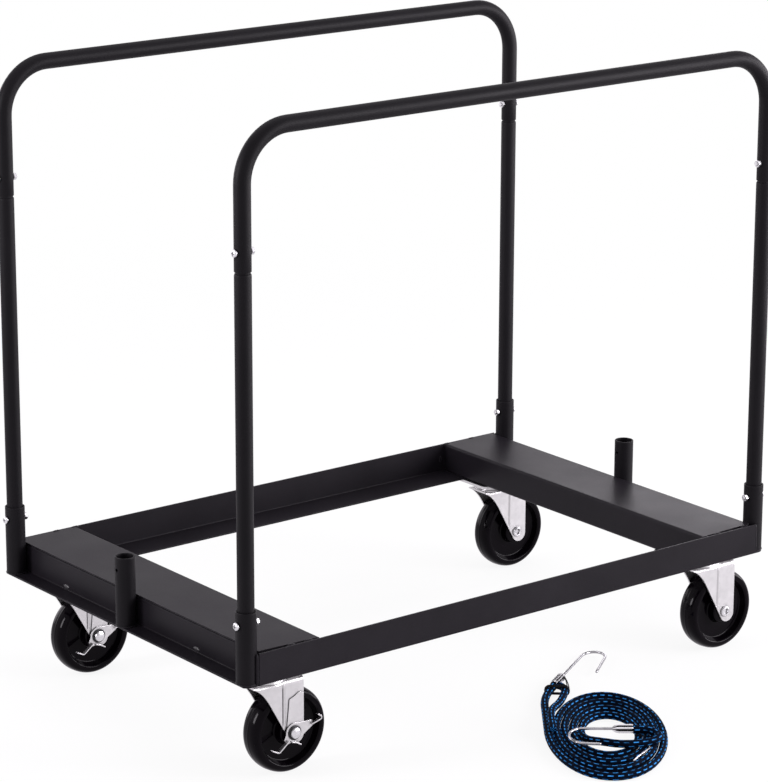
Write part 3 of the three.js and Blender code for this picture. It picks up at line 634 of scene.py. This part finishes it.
def bindingShape(opts):
    # thin black cord wound round the lead and the tail, pressed flat underneath
    lead, tail = Vector((*opts["lead"], 6)), Vector((*opts["tail"], 6))
    across = (tail - lead).normalized()
    along = Vector((-across.y, across.x, 0))
    turns = []
    for i in range(opts["bindingTurns"]):
        line = []
        for k in range(28):
            angle = 2 * math.pi * k / 28
            near = tail if math.cos(angle) > 0 else lead
            p = near + across * 7.2 * math.cos(angle) + along * opts["bindingPitch"] * (i - (k / 28 if i % 2 else 0))
            line.append((p.x, p.y, max(opts["binding"], 6 + 7.6 * math.sin(angle))))
        turns.append(line)
    return turns


def addCord(name, points, width, opts, nodes=()):
    sides, low = opts["sides"], opts["diameter"] / 2
    cord = addPiece(name, tube(points, width, sides, tall=low / max(width)), cordWeave, "tie", nodes)
    routeUv(cord, points, sides)
    path = [((p.x + centreX) * mm, p.y * mm, p.z * mm) for p in points]
    length = round(sum((b - a).length for a, b in zip(points, points[1:])) * mm, 3)
    return cord, path, length


def addTie(opts, hookOpts, tailOpts):
    points = tieRoute(opts)
    radius = opts["diameter"] / 2
    plump = radius + opts["swell"]  # the limp cord lies a little flat, so its turns touch
    cord, path, length = addCord("tie_cord_woven", points, [plump] * len(points), opts, ["tie_cord"])
    for name, end, before in (("outer", points[0], points[1]), ("inner", points[-1], points[-2])):
        away = (end - before).normalized()
        spin = math.degrees(math.atan2(-away.x, away.y))
        height = hookOpts["ferruleRadius"] + (end.z - radius)
        for kind, shape, finish in (("wire", hookShape, wire), ("bars", barsShape, boltZinc), ("sleeve", sleeveShape, blackThread)):
            piece = moved(turned(shape(hookOpts, hookOpts[name]), "Z", spin), end.x, end.y, height)
            addPiece(f"tie_hook_{name}_{kind}", piece, finish, "tie")
        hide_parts(f"tie_hook_{name}")
    line = inCoil(opts, curved(tailOpts["line"]))
    width = [radius] * (len(line) - 2) + [radius * 0.96, radius * 0.8]  # the cut end is a little drawn in
    tail, tailPath, tailLength = addCord("tie_tail_woven", line, width, opts)
    loops = [tube(inCoil(opts, loop), tailOpts["binding"], 8, closed=True) for loop in bindingShape(tailOpts)]
    loops += [tube(inCoil(opts, curved(keeper)), tailOpts["keeper"], 8) for keeper in tailOpts["keepers"]]
    addPiece("tie_tail_binding", join(*loops), blackThread, "tie")
    staple = inCoil(opts, curved(tailOpts["staple"]))
    knot = [tube([p + Vector((0, 0, 0.5)) + step for step in (Vector((-3, -2, 0)), Vector((0, 0, 0.8)), Vector((3, 2, 0)))], 0.9, 8) for p in staple[11:14:2]]
    addPiece("tie_staple_wire", join(tube(staple, 1.2, 8), *knot), boltZinc, "tie")
    print("tie laid:", length, "m of cord and a tail of", tailLength, "m")


addTie(tieSet, hookSet, tailSet)

corners = {"front_left": (-1, -1), "front_right": (1, -1), "rear_left": (-1, 1), "rear_right": (1, 1)}


# Welded base: two side rails, two end rails, two folded deck plates
baseSet = {"bottom": 171, "top": 221, "halfX": 500, "halfY": 310, "railSheet": 2.5, "railFace": 328.3, "railFlange": 60, "railHalf": 490,
           "railFlangeHalf": 480.9, "railFold": 2.6, "endSheet": 3, "endWeb": 484.2, "endReach": 512.5, "endHalf": 325.5, "endFold": 3,
           "webTop": 217.2, "deckSheet": 2.5, "deckInner": 377.2, "deckReturn": 22, "deckFold": 3.4, "notch": 268, "edge": 0.5, "seam": (3.5, 8)}


def addRails(opts):
    t, z0, z1 = opts["railSheet"], opts["bottom"], opts["top"]
    face = opts["railFace"] - t / 2
    outline = sheetOutline([(-face, z1), (-face, z0 + t / 2), (-opts["railFace"] + opts["railFlange"], z0 + t / 2)], t, opts["railFold"])
    rail = extruded(outline, "x", -opts["railHalf"], opts["railHalf"])
    copes = []
    for x in (-1, 1):
        box = extruded([(-opts["railFace"] + t + 2, z0 - 5), (-200, z0 - 5), (-200, z0 + t + 3), (-opts["railFace"] + t + 2, z0 + t + 3)],
                       "x", opts["railFlangeHalf"], opts["railHalf"] + 10)
        copes.append(mirrored(box, x))
    for name, y in (("front", 1), ("rear", -1)):
        addPiece(f"rail_{name}_steel", mirrored(rail, 1, y), coat, "cart_frame", [f"side_rail_{name}"], bevel=opts["edge"],
                 cutters=[mirrored(c, 1, y) for c in copes])


def seamDepth(opts, x):
    # the deck stops short of the front rail, further at its outer end
    return lerp(*opts["seam"], (abs(x) - opts["deckInner"]) / (opts["endWeb"] - opts["deckInner"]))


def addEnds(opts):
    t, z0 = opts["endSheet"], opts["bottom"]
    outline = sheetOutline([(opts["endWeb"] - t / 2, opts["webTop"]), (opts["endWeb"] - t / 2, z0 + t / 2), (opts["endReach"], z0 + t / 2)], t, opts["endFold"])
    end = extruded(outline, "y", -opts["endHalf"], opts["endHalf"])
    d, z1, inner = opts["deckSheet"], opts["top"], opts["deckInner"]
    fold = sheetOutline([(opts["endWeb"], z1 - d / 2), (inner + d / 2, z1 - d / 2), (inner + d / 2, z0 + d / 2), (inner + opts["deckReturn"], z0 + d / 2)],
                        d, opts["deckFold"], 6)
    deck = extruded(fold, "y", -opts["endHalf"], opts["endHalf"])
    notches = []
    for y in (-1, 1):
        box = extruded([(inner - 5, z0 - 5), (inner + opts["deckReturn"] + 5, z0 - 5), (inner + opts["deckReturn"] + 5, z0 + 2.8), (inner - 5, z0 + 2.8)],
                       "y", opts["notch"], opts["endHalf"] + 5)
        notches.append(mirrored(box, 1, y))
    front, near, far = -opts["endHalf"], inner - 5, opts["endWeb"] + 5
    notches.append(extruded([(near, front - 2), (far, front - 2), (far, front + seamDepth(opts, far)), (near, front + seamDepth(opts, near))],
                            "z", z1 - d - 0.6, z1 + 3))
    arc = [(opts["halfX"] + 15.5 * math.cos(math.pi / 24 * i), opts["halfY"] + 15.5 * math.sin(math.pi / 24 * i)) for i in range(13)]
    corner = extruded(arc + [(opts["halfX"], opts["halfY"] + 25), (opts["halfX"] + 25, opts["halfY"] + 25), (opts["halfX"] + 25, opts["halfY"])], "z", z0 - 5, z0 + 10)
    for name, x in (("left", -1), ("right", 1)):
        addPiece(f"end_{name}_steel", mirrored(end, x), coat, "cart_frame", [f"end_rail_{name}"], bevel=opts["edge"],
                 cutters=[mirrored(corner, x, y) for y in (-1, 1)])
        addPiece(f"deck_{name}_sheet", mirrored(deck, x), coat, "cart_frame", [f"deck_plate_{name}"], bevel=opts["edge"],
                 cutters=[mirrored(n, x) for n in notches])


addRails(baseSet)
addEnds(baseSet)
print("base folded")


# Weld beads and tacks on the base
weldSet = {"corner": 2.8, "base": 2.4, "ring": 1.3, "tack": 2.6, "tackLength": 15, "tacks": {("left", "front"): (430, 399), ("left", "rear"): (415, 380),
           ("right", "front"): (382, 410, 470), ("right", "rear"): (437, 382)}, "plugs": (190, -162)}


def addWelds(opts, base):
    shapes, plugs = [], []
    top, bottom = base["top"], base["bottom"]
    for x in (-1, 1):
        for y in (-1, 1):
            shapes.append(bead((x * 492, y * 325.2, bottom + 2), (x * 492, y * 325.2, top - 1), opts["corner"]))
            shapes.append(ringBead(x * base["halfX"], y * base["halfY"], bottom + 3.8, 15.3, opts["ring"]))
        shapes.append(ringBead(x * base["halfX"], 0, bottom + 3.8, 15.3, opts["ring"]))
        shapes.append(bead((x * 484.6, -5, top - 22), (x * 484.6, 5, top - 22), opts["base"]))
        for y in opts["plugs"]:
            mound = turned(dome(3.2, 7.5, 1.6), "Y", 90 * x)
            plugs.append(moved(mound, x * (base["endWeb"] - 0.1), y, bottom + 8))
    for (end, rail), places in opts["tacks"].items():
        x, y = (-1 if end == "left" else 1), (-1 if rail == "front" else 1)
        for place in places:
            half, gap = opts["tackLength"] / 2, seamDepth(base, place) if y < 0 else 0
            radius = opts["tack"] + gap / 6
            seam, height = y * (325.6 - gap / 2), top + 1.2 - radius
            shapes.append(bead((x * place - half, seam, height), (x * place + half, seam, height), radius, 4))
    mark = turned(dome(3, 6, 0.5), "X", 90)
    shapes.append(moved(mark, 369, base["railFace"] - base["railSheet"] + 0.1, bottom + 24))
    addPiece("base_welds", join(*shapes), coat, "cart_frame", sharp=70)
    addPiece("plug_welds", join(*plugs), bareWeld, "cart_frame", sharp=70)


addWelds(weldSet, baseSet)


# Sockets, legs and hoops, all round tube
tubeRadius = 12.5
postSet = {"bottom": 174.3, "socketTop": 283, "socketRadius": 15.5, "socketBore": 13, "stubHole": 263, "holeRadius": 3.2, "wall": 1.5,
           "joint": 779, "jointGap": 2, "shoulder": 4, "neck": 10.6, "neckTop": 837, "hoopTop": 978, "bend": 77, "sides": 40}


def socketShape(opts):
    r, bore, z0, z1 = opts["socketRadius"], opts["socketBore"], opts["bottom"], opts["socketTop"]
    lip = filleted([(r, z1 - 3), (r, z1), (bore, z1), (bore, z1 - 3)], 0.8, 3)
    return lathed([(bore, z0), (r, z0)] + [tuple(p) for p in lip], opts["sides"], ring=True)


def legShape(opts):
    r, wall = tubeRadius, opts["wall"]
    z = opts["joint"] - opts["jointGap"]
    shoulder = [(lerp(opts["neck"], r, math.cos(math.pi / 2 * i / 6)), z - opts["shoulder"] * (1 - math.sin(math.pi / 2 * i / 6))) for i in range(7)]
    profile = [(r - wall, opts["bottom"] + 0.3), (r, opts["bottom"] + 0.3)] + shoulder
    profile += [(opts["neck"], opts["neckTop"]), (opts["neck"] - wall, opts["neckTop"]), (opts["neck"] - wall, z), (r - wall, z - opts["shoulder"])]
    return lathed(profile, opts["sides"], ring=True)


def hoopShape(opts):
    half, top, bend = 500, opts["hoopTop"], opts["bend"]
    line = [(-half, 0, opts["joint"]), (-half, 0, opts["joint"] + 0.6), (-half, 0, opts["joint"] + 30)]
    for side in (-1, 1):
        for i in range(17):
            angle = math.pi / 2 * (i / 16 if side < 0 else 1 - i / 16)
            line.append((side * (half - bend + bend * math.cos(angle)), 0, top - bend + bend * math.sin(angle)))
    line += [(half, 0, opts["joint"] + 30), (half, 0, opts["joint"] + 0.6), (half, 0, opts["joint"])]
    outer = [tubeRadius] * len(line)
    outer[0] = outer[-1] = tubeRadius - 0.45
    return pipe(line, outer, tubeRadius - opts["wall"], opts["sides"])


def addPosts(opts):
    for name, (x, y) in corners.items():
        addPiece(f"socket_{name}_tube", moved(socketShape(opts), x * 500, y * 310), tubeCoat, "cart_frame", [f"socket_{name}"], sharp=50)
        addPiece(f"leg_{name}_tube", moved(legShape(opts), x * 500, y * 310), tubeCoat, "cart_frame", [f"leg_{name}"], sharp=50)
    for name, x in (("left", -1), ("right", 1)):
        drill = turned(lathed([(0, -20), (opts["holeRadius"], -20), (opts["holeRadius"], 20), (0, 20)], 24), "Y", 90)
        addPiece(f"stub_{name}_tube", moved(socketShape(opts), x * 500), tubeCoat, "cart_frame", [f"stub_socket_{name}"], sharp=50,
                 cutters=[moved(drill, x * 500, 0, opts["stubHole"])])
    for name, y in (("front", -310), ("rear", 310)):
        addPiece(f"hoop_{name}_tube", moved(hoopShape(opts), 0, y), tubeCoat, "cart_frame", [f"hoop_{name}"], sharp=50)


addPosts(postSet)
print("posts and hoops set")


# Pan head screws through sockets and joints, with hex nuts inside
screwSet = {"shank": 3, "head": 6, "headHeight": 4.5, "gap": 0.3, "nutFlats": 10, "nutHeight": 5, "pastNut": 2, "recess": 3.4, "recessWidth": 1.3,
            "recessDepth": 1.9, "socketZ": 263, "jointZ": 807}


def screwShape(opts, seat):
    # along X with the head on +X; seat is the radius of the tube
    head, high, s = opts["head"], opts["headHeight"], seat + opts["gap"]
    end = -s - opts["gap"] - opts["nutHeight"] - opts["pastNut"]
    profile = [(0, end), (opts["shank"] - 0.7, end), (opts["shank"], end + 0.7)]
    for i in range(4):  # thread crests past the nut
        profile += [(opts["shank"], end + 0.9 + i * 0.75), (opts["shank"] - 0.3, end + 1.2 + i * 0.75)]
    profile += [(opts["shank"], s), (head - 0.3, s), (head, s + 0.4), (head, s + high * 0.4)]
    profile += [(head * math.cos(math.pi / 2 * i / 8) ** 0.7, s + high * (0.4 + 0.6 * math.sin(math.pi / 2 * i / 8))) for i in range(1, 8)]
    profile += [(0, s + high)]
    return turned(lathed(profile, 28), "Y", 90)


def recessShape(opts, seat):
    a, b = opts["recess"], opts["recessWidth"] / 2
    plus = [(a, -b), (a, b), (b, b), (b, a), (-b, a), (-b, b), (-a, b), (-a, -b), (-b, -b), (-b, -a), (b, -a), (b, -b)]
    top = seat + opts["gap"] + opts["headHeight"]
    return extruded(plus, "x", top - opts["recessDepth"], top + 3)


def nutShape(opts, seat):
    s, reach = seat + opts["gap"], opts["nutFlats"] / math.sqrt(3)
    rows = [(0.93, 0), (1, 0.45), (1, opts["nutHeight"] - 0.45), (0.93, opts["nutHeight"])]
    verts, faces = [], []
    for share, z in rows:
        verts += [(-s - z, reach * share * math.cos(math.pi / 3 * k), reach * share * math.sin(math.pi / 3 * k)) for k in range(6)]
    for z in (opts["nutHeight"], 0):
        verts += [(-s - z, 3.2 * math.cos(math.pi / 3 * k), 3.2 * math.sin(math.pi / 3 * k)) for k in range(6)]
    for row in range(5):
        faces += [(row * 6 + k, row * 6 + (k + 1) % 6, row * 6 + 6 + (k + 1) % 6, row * 6 + 6 + k) for k in range(6)]
    faces += [(30 + k, 30 + (k + 1) % 6, (k + 1) % 6, k) for k in range(6)]
    return verts, faces


def addScrews(opts):
    for kind, seat, z in (("socket", 15.5, opts["socketZ"]), ("joint", tubeRadius, opts["jointZ"])):
        screw, recess, nut = screwShape(opts, seat), recessShape(opts, seat), nutShape(opts, seat)
        for name, (x, y) in corners.items():
            put = lambda shape: moved(turned(shape, "Z", 0 if x > 0 else 180), x * 500, y * 310, z)
            addPiece(f"{kind}_screw_{name}", put(screw), boltZinc, "cart_frame", [f"{kind}_bolt_{name}"], sharp=45, cutters=[put(recess)])
            addPiece(f"{kind}_hexnut_{name}", put(nut), boltZinc, "cart_frame", [f"{kind}_nut_{name}"], sharp=25)


addScrews(screwSet)
print("screws in")


# Casters: plate and races, stamped fork, wheel, axle, and a brake on the left pair
casterSet = {"swivelX": 434, "swivelY": 261, "plateX": 60, "plateY": 50, "plateLow": 166.7, "plateTop": 170.7, "plateCorner": 9, "race": 30,
             "raceGap": 160.5, "crown": 150, "pin": 7, "front": -35, "back": 55, "sheet": 3, "outer": 23, "trail": 35.5, "axleZ": 66.5,
             "tip": (41, 62), "tipRadius": 14, "shoulder": (-19, 141), "shoulderShare": 0.3, "corner": 6,
             "groove": 17.4, "grooveDepth": 1.7, "plainDepth": 0.7, "grooveWidth": 0.75, "rib": 20.2, "ribHeight": 0.7, "ribWidth": 1.3, "pressLow": 74, "pressHigh": 143}
rollSet = {"radius": 66.5, "half": 18, "hub": 20, "hubHalf": 19.7, "bore": 7.7, "web": 6.5, "rim": 51.5, "sides": 80}
brakeSet = {"inner": 24.7, "sheet": 1.7, "hub": 15, "tip": 9, "flange": 31.3, "flangeSheet": 2, "longArm": 34, "longPedal": 18, "shortArm": 20,
            "shortPedal": 19, "curl": 13, "longAngle": 15, "shortAngle": 218, "longCurl": 130, "shortCurl": -65, "leafSheet": 1, "leafGap": 0.6}


def plateShape(opts):
    r = opts["plateCorner"]
    outline = []
    for cx, cy, start in ((1, 1, 0), (-1, 1, 90), (-1, -1, 180), (1, -1, 270)):
        for i in range(9):
            angle = math.radians(start + 90 * i / 8)
            outline.append((cx * (opts["plateX"] - r) + r * math.cos(angle), cy * (opts["plateY"] - r) + r * math.sin(angle)))
    plate = extruded(outline, "z", opts["plateLow"], opts["plateTop"])
    low = opts["raceGap"] + 0.2
    cup = lathed([(0, opts["plateLow"] + 1), (opts["race"] - 2, opts["plateLow"] + 1), (opts["race"] - 1.2, opts["plateLow"] - 1.2), (opts["race"], opts["plateLow"] - 2.4),
                  (opts["race"], low + 0.8), (opts["race"] - 0.8, low), (opts["pin"], low), (opts["pin"], 146.5), (10.2, 146.5), (11, 145.7), (11, 143.6), (9, 142.5), (0, 142.5)], 48)
    return join(plate, cup)


def forkEdge(opts):
    # lower edge of a fork leg as height over x, from the crown's lip to the back
    tip, shoulder, r = Vector(opts["tip"]), Vector(opts["shoulder"]), opts["tipRadius"]
    reach = shoulder - tip
    tangent = math.atan2(reach.y, reach.x) + math.acos(r / reach.length)
    meet = tip + Vector((math.cos(tangent), math.sin(tangent))) * r
    flank = shoulder.lerp(meet, opts["shoulderShare"])
    lip = Vector((opts["front"], opts["crown"] - opts["sheet"]))
    edge = [lip.lerp(shoulder, t).lerp(shoulder.lerp(flank, t), t) for t in (i / 14 for i in range(15))]
    edge += [flank.lerp(meet, i / 16) for i in range(1, 17)]
    turn = 2 * math.pi - tangent
    edge += [tip + Vector((math.cos(tangent + turn * i / 20), math.sin(tangent + turn * i / 20))) * r for i in range(1, 21)]
    return edge


def pressed(opts, x, z):
    # how far the leg's face stands out: a groove with a low rib beside it
    groove = math.exp(-((x - opts["groove"]) / opts["grooveWidth"]) ** 2) * opts["grooveDepth"]
    rib = math.exp(-((x - opts["rib"]) / opts["ribWidth"]) ** 2) * opts["ribHeight"]
    return (rib - groove) * smooth((z - opts["pressLow"]) / 10) * smooth((opts["pressHigh"] - z) / 4)


def forkStations(opts):
    # (x, lower edge) along the leg, with more of them across the groove
    edge = forkEdge(opts)
    extra = [opts["groove"] + 0.3 * i for i in range(-6, 18)]
    stations = [(p.x, p.y) for p in edge]
    for x in extra:
        for a, b in zip(edge, edge[1:]):
            if a.x < x <= b.x:
                stations.append((x, lerp(a.y, b.y, (x - a.x) / (b.x - a.x))))
    return sorted(stations)


def forkShape(opts):
    # a channel bent from sheet; each station runs up one leg, over the crown and down the other
    def run(x, low, half, top, corner, face):
        r = min(corner, (top - low) * 0.8)
        leg = []
        for i in range(21):
            z = lerp(low, top - r, i / 20)
            leg.append((x, -half - (pressed(opts, x, z) if face else 0), z))
        bend = [(x, -half + r - r * math.cos(math.pi / 2 * i / 6), top - r + r * math.sin(math.pi / 2 * i / 6)) for i in range(1, 7)]
        flat = [(x, lerp(-half + r, half - r, i / 6), top) for i in range(1, 6)]
        return leg + bend + flat + [(a, -b, c) for a, b, c in reversed(leg + bend)]
    sheet, top = opts["sheet"], opts["crown"]
    rings = []
    for x, low in forkStations(opts):
        low = min(low, top - sheet)
        outer = run(x, low, opts["outer"], top, opts["corner"], True)
        inner = run(x, low, opts["outer"] - sheet, top - sheet, opts["corner"] - sheet, False)
        rings.append(outer + inner[::-1])
    count = len(rings[0])
    verts = [v for ring in rings for v in ring]
    faces = []
    for i in range(len(rings) - 1):
        a, b = i * count, (i + 1) * count
        faces += [(a + k, a + (k + 1) % count, b + (k + 1) % count, b + k) for k in range(count)]
    for start in (0, (len(rings) - 1) * count):
        faces += [(start + k, start + k + 1, start + count - 2 - k, start + count - 1 - k) for k in range(count // 2 - 1)]
    return verts, faces


def raceShape(opts):
    top, r = opts["raceGap"] - 0.3, opts["race"]
    return lathed([(8, opts["crown"] - 1), (r + 3, opts["crown"] - 1), (r + 2.4, opts["crown"] + 0.6), (r + 0.8, opts["crown"] + 1.6), (r, opts["crown"] + 3.2), (r, top - 1.4), (r - 1.2, top), (8, top)],
                  48, ring=True)


def wheelShape(opts):
    # about Z; turned onto the axle later
    r, half, web = opts["radius"], opts["half"], opts["web"]
    face = [(opts["bore"], opts["hubHalf"]), (opts["hub"], opts["hubHalf"]), (opts["hub"] + 2.5, web), (opts["rim"] - 3, web), (opts["rim"] + 1, half - 1.5),
            (opts["rim"] + 2.5, half), (opts["rim"] + 5.5, half)]
    face = [tuple(p) for p in filleted(face, 2.6, 4)]
    lip = opts["rim"] + 5.5
    for i in range(1, 13):  # full rounded shoulder up to the tread
        angle = math.pi / 2 * (1 - i / 12.3)
        face.append((lip + (r - 0.2 - lip) * math.cos(angle) ** 0.85, half * math.sin(angle) ** 0.85))
    face.append((r, 0.3))
    profile = face + [(a, -b) for a, b in reversed(face)]
    return turned(turned(lathed(profile, opts["sides"], ring=True), "Z", 360 / opts["sides"]), "X", 90)


def axleShape(opts, near, braked):
    # along Y; a domed bolt head over the brake, a rolled hollow rivet without
    far = opts["outer"] + 0.3
    rod = [(0, -far), (5, -far), (5, near), (0, near)]
    rivet = [(0, 0), (8.8, 0), (8.8, 1.1), (8, 2.9), (6.6, 3.9), (5.4, 3.7), (4.6, 2.6), (4.2, 0.6), (0, 0.5)]
    parts = [turned(lathed(rod, 24), "X", 90), moved(turned(lathed(rivet, 32), "X", -90), 0, far, 0)]
    head = [(0, 0), (6, 0), (6, 1.5), (8.6, 1.7), (8.6, 3.3), (7.9, 4.6), (6, 5.5), (3, 6), (0, 6.1)] if braked else rivet
    parts.append(moved(turned(lathed(head, 32), "X", 90), 0, -near, 0))
    return moved(join(*parts), opts["trail"], 0, opts["axleZ"])


def leverShapes(opts):
    # plate in the XZ plane about the axle, with a folded pedal at the end of each arm
    def ray(angle, length):
        return Vector((math.cos(math.radians(angle)), math.sin(math.radians(angle)))) * length
    arms = []
    for angle, length in ((opts["longAngle"], opts["longArm"]), (opts["shortAngle"], opts["shortArm"])):
        side, tip = ray(angle + 90, 1), ray(angle, length)
        arms.append([side * opts["hub"], side * -opts["hub"], tip - side * opts["tip"] / 2, tip + side * opts["tip"] / 2])
    outline = []
    for k in range(120):
        way, far = ray(3 * k, 1), opts["hub"]
        for arm in arms:
            for a, b in zip(arm, arm[1:] + arm[:1]):
                edge = b - a
                cross = way.x * edge.y - way.y * edge.x
                if abs(cross) > 1e-9:
                    t, u = (a.x * edge.y - a.y * edge.x) / cross, (a.x * way.y - a.y * way.x) / cross
                    if t > 0 and -1e-6 <= u <= 1 + 1e-6:
                        far = max(far, t)
        outline.append(tuple(way * far))
    parts = [extruded(outline, "y", -opts["inner"] - opts["sheet"], -opts["inner"])]
    for angle, arm, pedal, curl in ((opts["longAngle"], opts["longArm"], opts["longPedal"], opts["longCurl"]),
                                    (opts["shortAngle"], opts["shortArm"], opts["shortPedal"], opts["shortCurl"])):
        root, end = ray(angle, arm - 4), ray(angle, arm + pedal)
        strip = sheetOutline([root, end, end + ray(angle + curl, opts["curl"])], opts["flangeSheet"], 4, 6)
        parts.append(extruded(strip, "y", -opts["flange"], -opts["inner"] - 0.3))
    lip = sheetOutline([(-7, -12.5), (1, -15), (10, -20)], 1.8, 5, 5)
    parts.append(extruded(lip, "y", -opts["flange"] + 1, -opts["inner"] - 0.3))
    return parts


def leafShape(opts, brake):
    # thin plate held off the fork leg by its thicker rear edge
    outline = [(45, 127), (37, 122.5), (28, 119), (26.2, 100), (24, 80), (27, 66), (33, 56), (41, 51), (49, 53.5), (54, 62), (54, 124), (50, 127)]
    outside = -opts["outer"] - brake["leafGap"] - brake["leafSheet"]
    plate = extruded(outline, "y", outside, -opts["outer"] - brake["leafGap"])
    rear = extruded([(47.5, 122), (52.5, 122), (52.5, 66), (47.5, 66)], "y", outside + 0.3, -opts["outer"] + 0.4)
    return join(plate, rear)


def washerShape(opts, near):
    # thin washer under the domed bolt head, black to paint the shade in the gap under the head
    return moved(turned(lathed([(6.2, 0), (11.2, 0), (11.2, 1.1), (10.6, 1.5), (6.2, 1.5)], 40, ring=True), "X", 90), opts["trail"], -near, opts["axleZ"])


def addCaster(name, sx, sy, opts):
    at = lambda shape: moved(shape, sx * opts["swivelX"], sy * opts["swivelY"])
    braked = sx < 0
    addPiece(f"plate_{name}_zinc", at(plateShape(opts)), zinc, "cart_frame", [f"caster_plate_{name}"], sharp=30)
    stamp = opts if braked else {**opts, "grooveDepth": opts["plainDepth"]}
    addPiece(f"fork_{name}_stamped", at(forkShape(stamp)), zinc, f"fork_{name}", [f"caster_fork_{name}"], sharp=60)
    addPiece(f"race_{name}_zinc", at(raceShape(opts)), zinc, f"fork_{name}", sharp=30)
    centre = ((sx * opts["swivelX"] + opts["trail"]) + centreX, sy * opts["swivelY"], opts["axleZ"])
    wheel = at(moved(wheelShape(rollSet), opts["trail"], 0, opts["axleZ"]))
    addPiece(f"wheel_{name}_moulded", wheel, wheelBlack, f"wheel_{name}", [f"caster_wheel_{name}"], sharp=60, origin=centre)
    near = opts["outer"] + (brakeSet["inner"] + brakeSet["sheet"] - opts["outer"] + 0.2 if braked else 0.3)
    addPiece(f"axle_{name}_pin", at(axleShape(opts, near, braked)), boltZinc, f"fork_{name}", [f"caster_axle_{name}"], sharp=35)
    sleeve = lathed([(5.3, -19.7), (7.3, -19.7), (7.3, 19.7), (5.3, 19.7)], 28, ring=True)
    addPiece(f"bush_{name}_sleeve", at(moved(turned(sleeve, "X", 90), opts["trail"], 0, opts["axleZ"])), boltZinc, f"fork_{name}", [f"caster_bush_{name}"])
    if braked:
        # painted shade: black ring under the brake bolt's head
        addPiece(f"washer_{name}_black", at(washerShape(opts, near)), shadeRingSteel, f"fork_{name}", sharp=35)
        addPiece(f"leaf_{name}_zinc", at(leafShape(opts, brakeSet)), zinc, f"fork_{name}", bevel=0.4)
        parts = [moved(p, opts["trail"], 0, opts["axleZ"]) for p in leverShapes(brakeSet)]
        addPiece(f"lever_{name}_zinc", at(join(*parts)), zinc, f"brake_{name}", [f"brake_lever_{name}"], bevel=0.4)


for name, (x, y) in corners.items():
    addCaster(name, x, y, casterSet)
print("casters hung")


# Pale floor, white surround and soft studio lamps
studioSet = {"floor": 60, "floorTone": (0.86, 0.86, 0.86), "glow": 0.88, "fade": (1.2, 3.2), "surround": 0.62, "tint": (0.985, 0.945, 1.0),
             "lamps": {"top": {"at": (0.1, 0.4, 3.4), "aim": (0, 0, 0.3), "size": (3.0, 3.0), "power": 20},
                       "frontRight": {"at": (2.5, -3.1, 1.3), "aim": (0.1, -0.2, 0.5), "size": (1.8, 2.0), "power": 155},
                       "left": {"at": (-3.2, 0.9, 1.3), "aim": (-0.2, -0.2, 0.15), "size": (0.75, 1.2), "power": 64},
                       "backRight": {"at": (3.3, 2.6, 1.4), "aim": (0.4, 0, 0.2), "size": (1.0, 1.0), "power": 11},
                       "sideLeft": {"at": (-0.7, 3.7, 0.9), "aim": (0, 0, 0.6), "size": (2.2, 1.6), "power": 31},
                       "sideRight": {"at": (3.3, -1.0, 0.9), "aim": (0, 0, 0.6), "size": (2.0, 1.6), "power": 68}}}


def whiteForLooking(tree):
    # 1 for rays that look, bounce off gloss or pass through glass
    path = addNode(tree, "ShaderNodeLightPath")
    seen = mathOf(tree, "MAXIMUM", path.outputs["Is Camera Ray"], path.outputs["Is Glossy Ray"])
    return mathOf(tree, "MAXIMUM", seen, path.outputs["Is Transmission Ray"])


def tintOf(tree, opts):
    # plain white to the camera, the studio's faint tint to everything else
    return mixOf(tree, addNode(tree, "ShaderNodeLightPath").outputs["Is Camera Ray"], opts["tint"], (1, 1, 1))


def addStudio(opts):
    world = bpy.data.worlds.new("surround")
    world.use_nodes = True
    tree = world.node_tree
    light = tree.nodes["Background"]
    tree.links.new(tintOf(tree, opts), light.inputs["Color"])
    tree.links.new(spreadOf(tree, whiteForLooking(tree), 0, 1, opts["surround"], 1), light.inputs["Strength"])
    scene.world = world
    half = opts["floor"] * 1000
    floor = bpy.data.objects.new("floor", meshOf("floor", ([(-half, -half, 0), (half, -half, 0), (half, half, 0), (-half, half, 0)], [(0, 1, 2, 3)])))
    scene.collection.objects.link(floor)
    pale, tree, shader = newFinish("pale_floor", {"Roughness": 0.9, "Specular IOR Level": 0.1})
    coords = addNode(tree, "ShaderNodeTexCoord").outputs["Object"]
    tree.links.new(mixOf(tree, noiseOf(tree, coords, 3, 4), opts["floorTone"], (0.88, 0.88, 0.88)), shader.inputs["Base Color"])
    glow = addNode(tree, "ShaderNodeEmission", {"Strength": 1.0})
    tree.links.new(tintOf(tree, opts), glow.inputs["Color"])
    both = addNode(tree, "ShaderNodeMixShader")
    away = addNode(tree, "ShaderNodeVectorMath", operation="LENGTH")  # the floor turns plain white away from the cart
    tree.links.new(coords, away.inputs[0])
    share = spreadOf(tree, away.outputs["Value"], *opts["fade"], opts["glow"], 1)
    tree.links.new(mathOf(tree, "MULTIPLY", whiteForLooking(tree), share), both.inputs[0])
    tree.links.new(shader.outputs[0], both.inputs[1])
    tree.links.new(glow.outputs[0], both.inputs[2])
    tree.links.new(both.outputs[0], tree.nodes["Material Output"].inputs["Surface"])
    floor.data.materials.append(pale)
    for name, lampSet in opts["lamps"].items():
        data = bpy.data.lights.new(name, "AREA")
        data.shape, data.energy, data.color = "RECTANGLE", lampSet["power"], opts["tint"]
        data.size, data.size_y = lampSet["size"]
        lamp = bpy.data.objects.new(name, data)
        lamp.location = lampSet["at"]
        lamp.rotation_euler = (Vector(lampSet["aim"]) - lamp.location).to_track_quat("-Z", "Y").to_euler()
        scene.collection.objects.link(lamp)


addStudio(studioSet)
print("studio lit")

print("cart finished")
